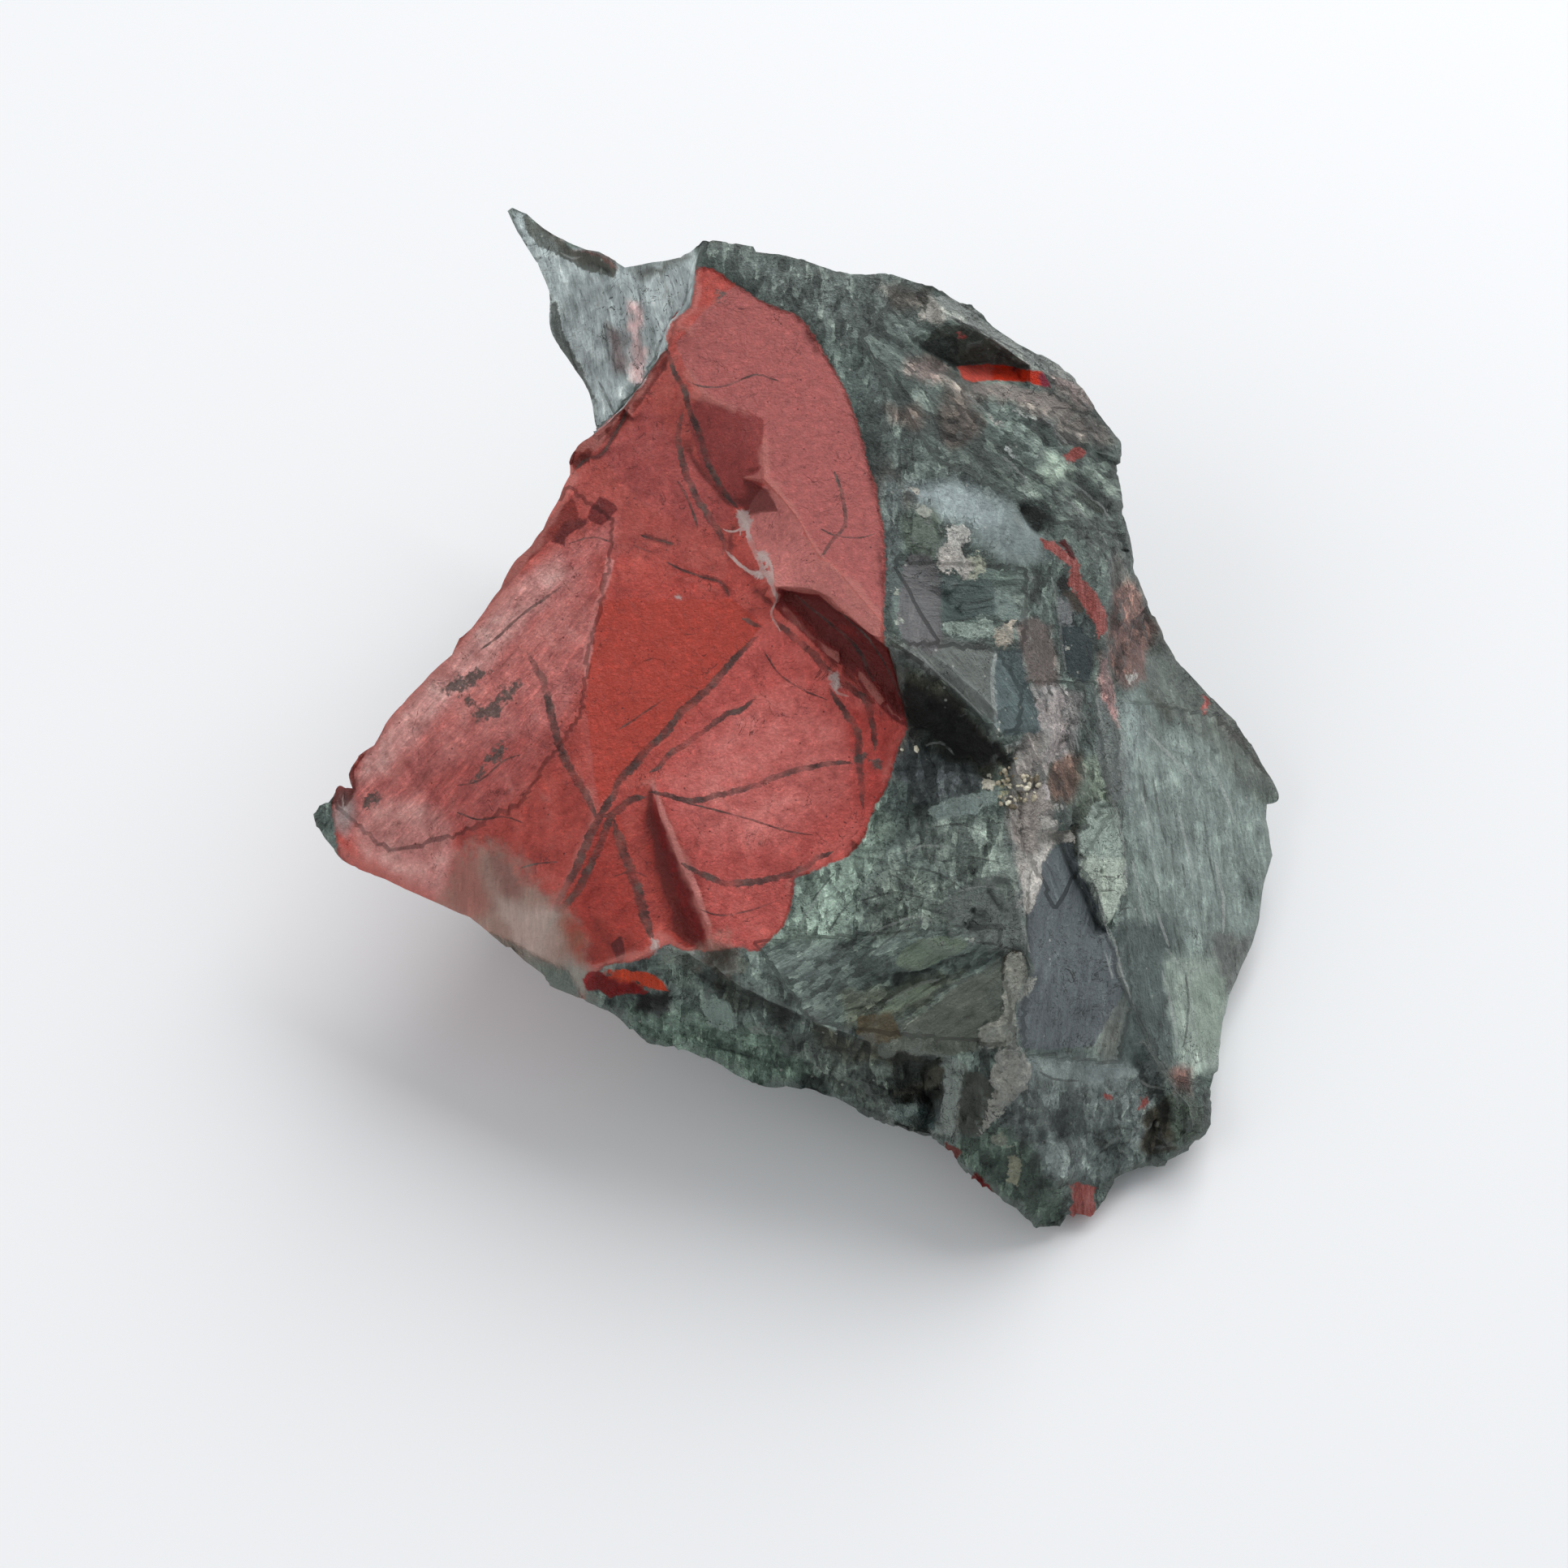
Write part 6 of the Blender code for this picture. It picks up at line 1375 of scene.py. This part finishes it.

# The red stone: finer, with clouds, pocks, hairlines, dark blots and painted shade in hollows.
POCK_RED = (0.07, 0.010, 0.009, 1)
HAIR_RED = (0.09, 0.012, 0.010, 1)
HOLLOW_SHADE_RED = (0.10, 0.010, 0.008, 1)
WORN_AND_LIT_RED = (0.56, 0.20, 0.17, 1)
BLOT_BROWN = (0.085, 0.068, 0.060, 1)
red_grit = placed(tree, "ShaderNodeGroup", {"node_tree": fine_grain}, Where=where, Size=1.6)
red_cloud = ramped(cloudy(tree, where, 0.42, 4.0, 0.66, 0.5), (0.3, (0.70, 0.58, 0.58)),
                   (0.5, (1, 1, 1)), (0.7, (1.16, 1.46, 1.46)))
red_colour = shaded_by(tree, marking("red_tone", "Vector"), red_cloud)
red_colour = shaded_by(tree, red_colour, red_grit.outputs["Shade"], 0.42)
red_colour = shaded_by(tree, red_colour, streaked.outputs["Shade"],
                       reckoned(tree, "MULTIPLY", 0.5, streaky))
for name, fray in (("red_face", 0.6), ("red_scar_and_shade", 0.8), ("red_highlight", 0.8)):
    red_colour = with_faces(red_colour, name, red_grit.outputs["Shade"], 0.42, fray, 0.9)
pocks = placed(tree, "ShaderNodeTexVoronoi", None, Vector=where, Scale=0.9, Randomness=1.0)
pock = spread(tree, pocks.outputs["Distance"], 0.06, 0.11, 0.8, 0.0)
red_colour = laid(red_colour, POCK_RED,
                  spread(tree, cloudy(tree, where, 0.4, 2.0), 0.48, 0.52), pock)
hairs = reckoned(tree, "SUBTRACT", cloudy(tree, where, 0.16, 5.0, 0.60, 1.1), 0.5)
hair = spread(tree, reckoned(tree, "ABSOLUTE", hairs), 0.0, 0.006, 0.8, 0.0)
red_colour = laid(red_colour, HAIR_RED,
                  spread(tree, cloudy(tree, where, 0.35, 4.0), 0.42, 0.55), hair)
# painted shade in the red's hollows; proud places paler, as wear and as a painted highlight
red_colour = dyed(tree, spread(tree, bend_of, 0.006, 0.07, 0.0, 0.75), red_colour, HOLLOW_SHADE_RED)
red_colour = dyed(tree, spread(tree, bend_of, -0.010, -0.08, 0.0, 0.5), red_colour, WORN_AND_LIT_RED)
red_colour = laid(red_colour, shaded_by(tree, BLOT_BROWN, red_grit.outputs["Shade"]),
                  masked("dark_blots", 6.0, small_grain, 3.0), 0.88)

# The two stones together, and what grew across them.
MINT = (0.24, 0.31, 0.25, 1)
QUARTZ_BIT = (0.50, 0.40, 0.38, 1)
QUARTZ_LINE = (0.56, 0.45, 0.42, 1)
red_mask = masked("red_jasper", 1.6, small_grain, 1.2)
colour = dyed(tree, red_mask, green, red_colour)
vein_colour = ramped(coarse_grain, (0.35, (0.012, 0.009, 0.008)),
                     (0.5, (0.038, 0.030, 0.026)), (0.65, (0.10, 0.085, 0.072)))
seams = seam_mask("dark_veins_1")
for number in range(2, len(VEIN_LAYERS) + 1):
    seams = reckoned(tree, "MAXIMUM", seams, seam_mask(f"dark_veins_{number}"))
colour = laid(colour, vein_colour, seams, 0.88)
smoky = shaded_by(tree, marking("smoky_tone", "Vector"), streaked.outputs["Shade"], 0.3)
colour = laid(colour, smoky, masked("smoky_window", 9.0, coarse_grain, 17.0), 0.84)
colour = laid(colour, MINT, masked("mint_patch", 5.0, coarse_grain, 6.0), 0.6)
rose = ramped(streaked.outputs["Height"], (0.40, (0.26, 0.045, 0.036)),
              (0.50, (0.50, 0.105, 0.088)), (0.60, (0.62, 0.22, 0.20)))
colour = laid(colour, rose, masked("rose_spot", 2.5), 0.92)
colour = with_faces(colour, "splinter", streaked.outputs["Shade"], 0.5, 0.8)
colour = laid(colour, QUARTZ_BIT, masked("white_quartz", 3.0, small_grain, 2.0), 0.8)
colour = laid(colour, QUARTZ_LINE, seam_mask("white_quartz_line"), 0.85)
tree.links.new(colour, shader.inputs["Base Color"])
shader.inputs["Specular IOR Level"].default_value = 0.36

gloss = spread(tree, coarse_grain, 0.3, 0.7, 0.36, 0.62)
tree.links.new(reckoned(tree, "ADD", gloss, reckoned(tree, "MULTIPLY", -0.05, red_mask)),
               shader.inputs["Roughness"])

# Its relief, in millimetres: rough where it broke roughly, finer on the clean faces.
rough_height = reckoned(tree, "MULTIPLY", grit.outputs["Height"],
                        spread(tree, smooth_face, 0.0, 1.0, 2.2, 0.6))
streak_height = reckoned(tree, "MULTIPLY", streaked.outputs["Height"],
                         reckoned(tree, "MULTIPLY", streaky, 0.6))
relief_height = reckoned(tree, "MULTIPLY_ADD", wide_plates.outputs["Height"],
                         spread(tree, smooth_face, 0.0, 1.0, 0.80, 0.12),
                         reckoned(tree, "ADD", rough_height, streak_height))
bump = placed(tree, "ShaderNodeBump", None, Strength=1.0, Distance=0.001, Height=relief_height)
tree.links.new(bump.outputs[0], shader.inputs["Normal"])

lump.materials.append(stone_finish)
bloodstone_lump = bpy.data.objects.new("bloodstone_lump", lump)
bpy.context.scene.collection.objects.link(bloodstone_lump)
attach(bloodstone_lump, "root")
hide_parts("bloodstone")

# ---- The druse: small crystals --------------------------------------------------------------
# A crust of tiny honey-coloured quartz crystals that grew on the ledge where the deep, shaded
# hollow meets the crest, with a few pale ones along the edge of the red patch. They are grown onto
# the stone.
CRYSTAL_SPACING = 0.00032
SMALLEST_CRYSTAL = 0.00028
LARGEST_CRYSTAL = 0.0008
MOST_CRYSTALS = 4.0e6  # on a square metre
STRAY_SHARE = 0.05
CRYSTAL_SHAPE = (0.75, 0.75, 1.25)

druse_places = within(
    "1230 950, 1246 944, 1262 952, 1276 948, 1282 962, 1280 984, 1262 996, 1240 1000, 1224 994,"
    "1234 976, 1228 962",
)
stray_places = within(
    "1110 902, 1132 908, 1152 922, 1122 940, 1104 924",
    "1092 722, 1112 722, 1118 772, 1094 790",
    "1232 915, 1252 916, 1258 940, 1236 940",
    "1116 596, 1134 598, 1146 640, 1118 632",
)
crowding = np.maximum(eased(druse_places, -3, 6), STRAY_SHARE * eased(stray_places, 0, 5))
kept = (crowding[triangles] > 0.01).any(1)
used, renumbered = np.unique(triangles[kept], return_inverse=True)
druse_bed = bpy.data.meshes.new("druse_bed")
druse_bed.from_pydata((points[used] / MM).tolist(), [], renumbered.reshape(-1, 3).tolist())
carried = druse_bed.attributes.new("crowding", "FLOAT", "POINT")
carried.data.foreach_set("value", crowding[used].astype(np.float32))

druse_finish = bpy.data.materials.new("druse_quartz")
druse_finish.use_nodes = True
tree = druse_finish.node_tree
shader = tree.nodes["Principled BSDF"]
tint = placed(tree, "ShaderNodeAttribute", {"attribute_name": "tint"}).outputs["Fac"]
place = placed(tree, "ShaderNodeTexCoord").outputs["Object"]
clouds = cloudy(tree, pointed(tree, "SCALE", place, Scale=MM), 3.0, 3.0)
honey = ramped(tint, (0.0, (0.09, 0.07, 0.04)), (0.35, (0.24, 0.20, 0.13)),
               (0.65, (0.46, 0.41, 0.30)), (1.0, (0.72, 0.69, 0.55)), tree=tree)
murk = ramped(clouds, (0.3, (0.5, 0.5, 0.5)), (0.7, (1.5, 1.5, 1.5)), tree=tree)
tree.links.new(shaded_by(tree, honey, murk, 0.5), shader.inputs["Base Color"])
tree.links.new(spread(tree, clouds, 0.3, 0.7, 0.14, 0.42), shader.inputs["Roughness"])
bump = placed(tree, "ShaderNodeBump", None, Strength=0.4, Distance=0.0002, Height=clouds)
tree.links.new(bump.outputs[0], shader.inputs["Normal"])

growth = bpy.data.node_groups.new("grown_crystals", "GeometryNodeTree")
for label, kind, value in (
    ("Bed", "NodeSocketGeometry", None), ("Spacing", "NodeSocketFloat", CRYSTAL_SPACING),
    ("Smallest", "NodeSocketFloat", SMALLEST_CRYSTAL),
    ("Largest", "NodeSocketFloat", LARGEST_CRYSTAL),
    ("Seed", "NodeSocketInt", 3), ("Finish", "NodeSocketMaterial", None),
):
    socket = growth.interface.new_socket(label, in_out="INPUT", socket_type=kind)
    if value is not None:
        socket.default_value = value
growth.interface.new_socket("Crystals", in_out="OUTPUT", socket_type="NodeSocketGeometry")
given = growth.nodes.new("NodeGroupInput").outputs
grown = growth.nodes.new("NodeGroupOutput")
crowded = placed(growth, "GeometryNodeInputNamedAttribute", {"data_type": "FLOAT"},
                 Name="crowding").outputs[0]
sown = placed(growth, "GeometryNodeDistributePointsOnFaces", {"distribute_method": "POISSON"},
              in0=given["Bed"], **{
                  "Distance Min": given["Spacing"], "Density Max": MOST_CRYSTALS,
                  "Density Factor": crowded, "Seed": given["Seed"]})
crystal = placed(growth, "GeometryNodeMeshIcoSphere", None, Radius=0.5, Subdivisions=1)
crystal = placed(growth, "GeometryNodeTransform", None, Geometry=crystal.outputs[0],
                 Scale=CRYSTAL_SHAPE)
turned = placed(growth, "FunctionNodeRandomValue", {"data_type": "FLOAT_VECTOR"},
                in1=(math.tau, math.tau, math.tau), Seed=given["Seed"]).outputs[0]
sized = placed(growth, "FunctionNodeRandomValue", {"data_type": "FLOAT"},
               in2=given["Smallest"], in3=given["Largest"], Seed=given["Seed"]).outputs[1]
stood = placed(growth, "GeometryNodeInstanceOnPoints", None, Points=sown.outputs["Points"],
               Instance=crystal.outputs[0], Rotation=turned, Scale=sized).outputs[0]
tinted = placed(growth, "FunctionNodeRandomValue", {"data_type": "FLOAT"}, Seed=7).outputs[1]
stood = placed(growth, "GeometryNodeStoreNamedAttribute",
               {"data_type": "FLOAT", "domain": "INSTANCE"},
               Geometry=stood, Name="tint", Value=tinted).outputs[0]
stood = placed(growth, "GeometryNodeRealizeInstances", None, Geometry=stood).outputs[0]
stood = placed(growth, "GeometryNodeSetMaterial", None, Geometry=stood,
               Material=given["Finish"]).outputs[0]
growth.links.new(stood, grown.inputs[0])

bed = bpy.data.objects.new("druse_bed", druse_bed)
bpy.context.scene.collection.objects.link(bed)
growing = bed.modifiers.new("grown_crystals", "NODES")
growing.node_group = growth
named = {item.name: item.identifier for item in growth.interface.items_tree
         if item.in_out == "INPUT"}
for label, value in (("Spacing", CRYSTAL_SPACING), ("Smallest", SMALLEST_CRYSTAL),
                     ("Largest", LARGEST_CRYSTAL), ("Seed", 3), ("Finish", druse_finish)):
    growing[named[label]] = value
druse = bpy.data.meshes.new_from_object(bed.evaluated_get(bpy.context.evaluated_depsgraph_get()))
bpy.data.objects.remove(bed)
druse.name = "crystal_druse"
crystal_druse = bpy.data.objects.new("crystal_druse", druse)
bpy.context.scene.collection.objects.link(crystal_druse)
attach(crystal_druse, "root")

# ---- The table and the light ----------------------------------------------------------------
# A plain white table under wide soft light that comes from above and behind the stone's right.
TABLE_SIDE = 3.0
TABLE_WHITE = (0.86, 0.87, 0.885, 1)
TABLE_ROUGHNESS = 0.75
ROOM_LIGHT = (0.96, 0.98, 1.0, 1)
ROOM_STRENGTH = 0.45
STONE_MIDDLE = Vector((0, 0, 0.02))

half = TABLE_SIDE / 2
table = bpy.data.meshes.new("white_table")
table.from_pydata([(-half, -half, 0), (half, -half, 0), (half, half, 0), (-half, half, 0)], [],
                  [(0, 1, 2, 3)])
table_finish = bpy.data.materials.new("white_table")
table_finish.use_nodes = True
shader = table_finish.node_tree.nodes["Principled BSDF"]
shader.inputs["Base Color"].default_value = TABLE_WHITE
shader.inputs["Roughness"].default_value = TABLE_ROUGHNESS
table.materials.append(table_finish)
white_table = bpy.data.objects.new("white_table", table)
bpy.context.scene.collection.objects.link(white_table)

sky = bpy.data.worlds.new("soft_room")
sky.use_nodes = True
sky.node_tree.nodes["Background"].inputs["Color"].default_value = ROOM_LIGHT
sky.node_tree.nodes["Background"].inputs["Strength"].default_value = ROOM_STRENGTH
bpy.context.scene.world = sky
for name, spot, side, power in (
    ("window_behind", (0.44, 0.72, 0.86), 1.0, 12.0),
    ("window_left", (-0.50, -0.25, 0.50), 0.5, 1.1),
):
    lamp = bpy.data.lights.new(name, "AREA")
    lamp.size = side
    lamp.energy = power
    holder = bpy.data.objects.new(name, lamp)
    holder.location = spot
    holder.rotation_euler = (STONE_MIDDLE - Vector(spot)).to_track_quat("-Z", "Y").to_euler()
    bpy.context.scene.collection.objects.link(holder)
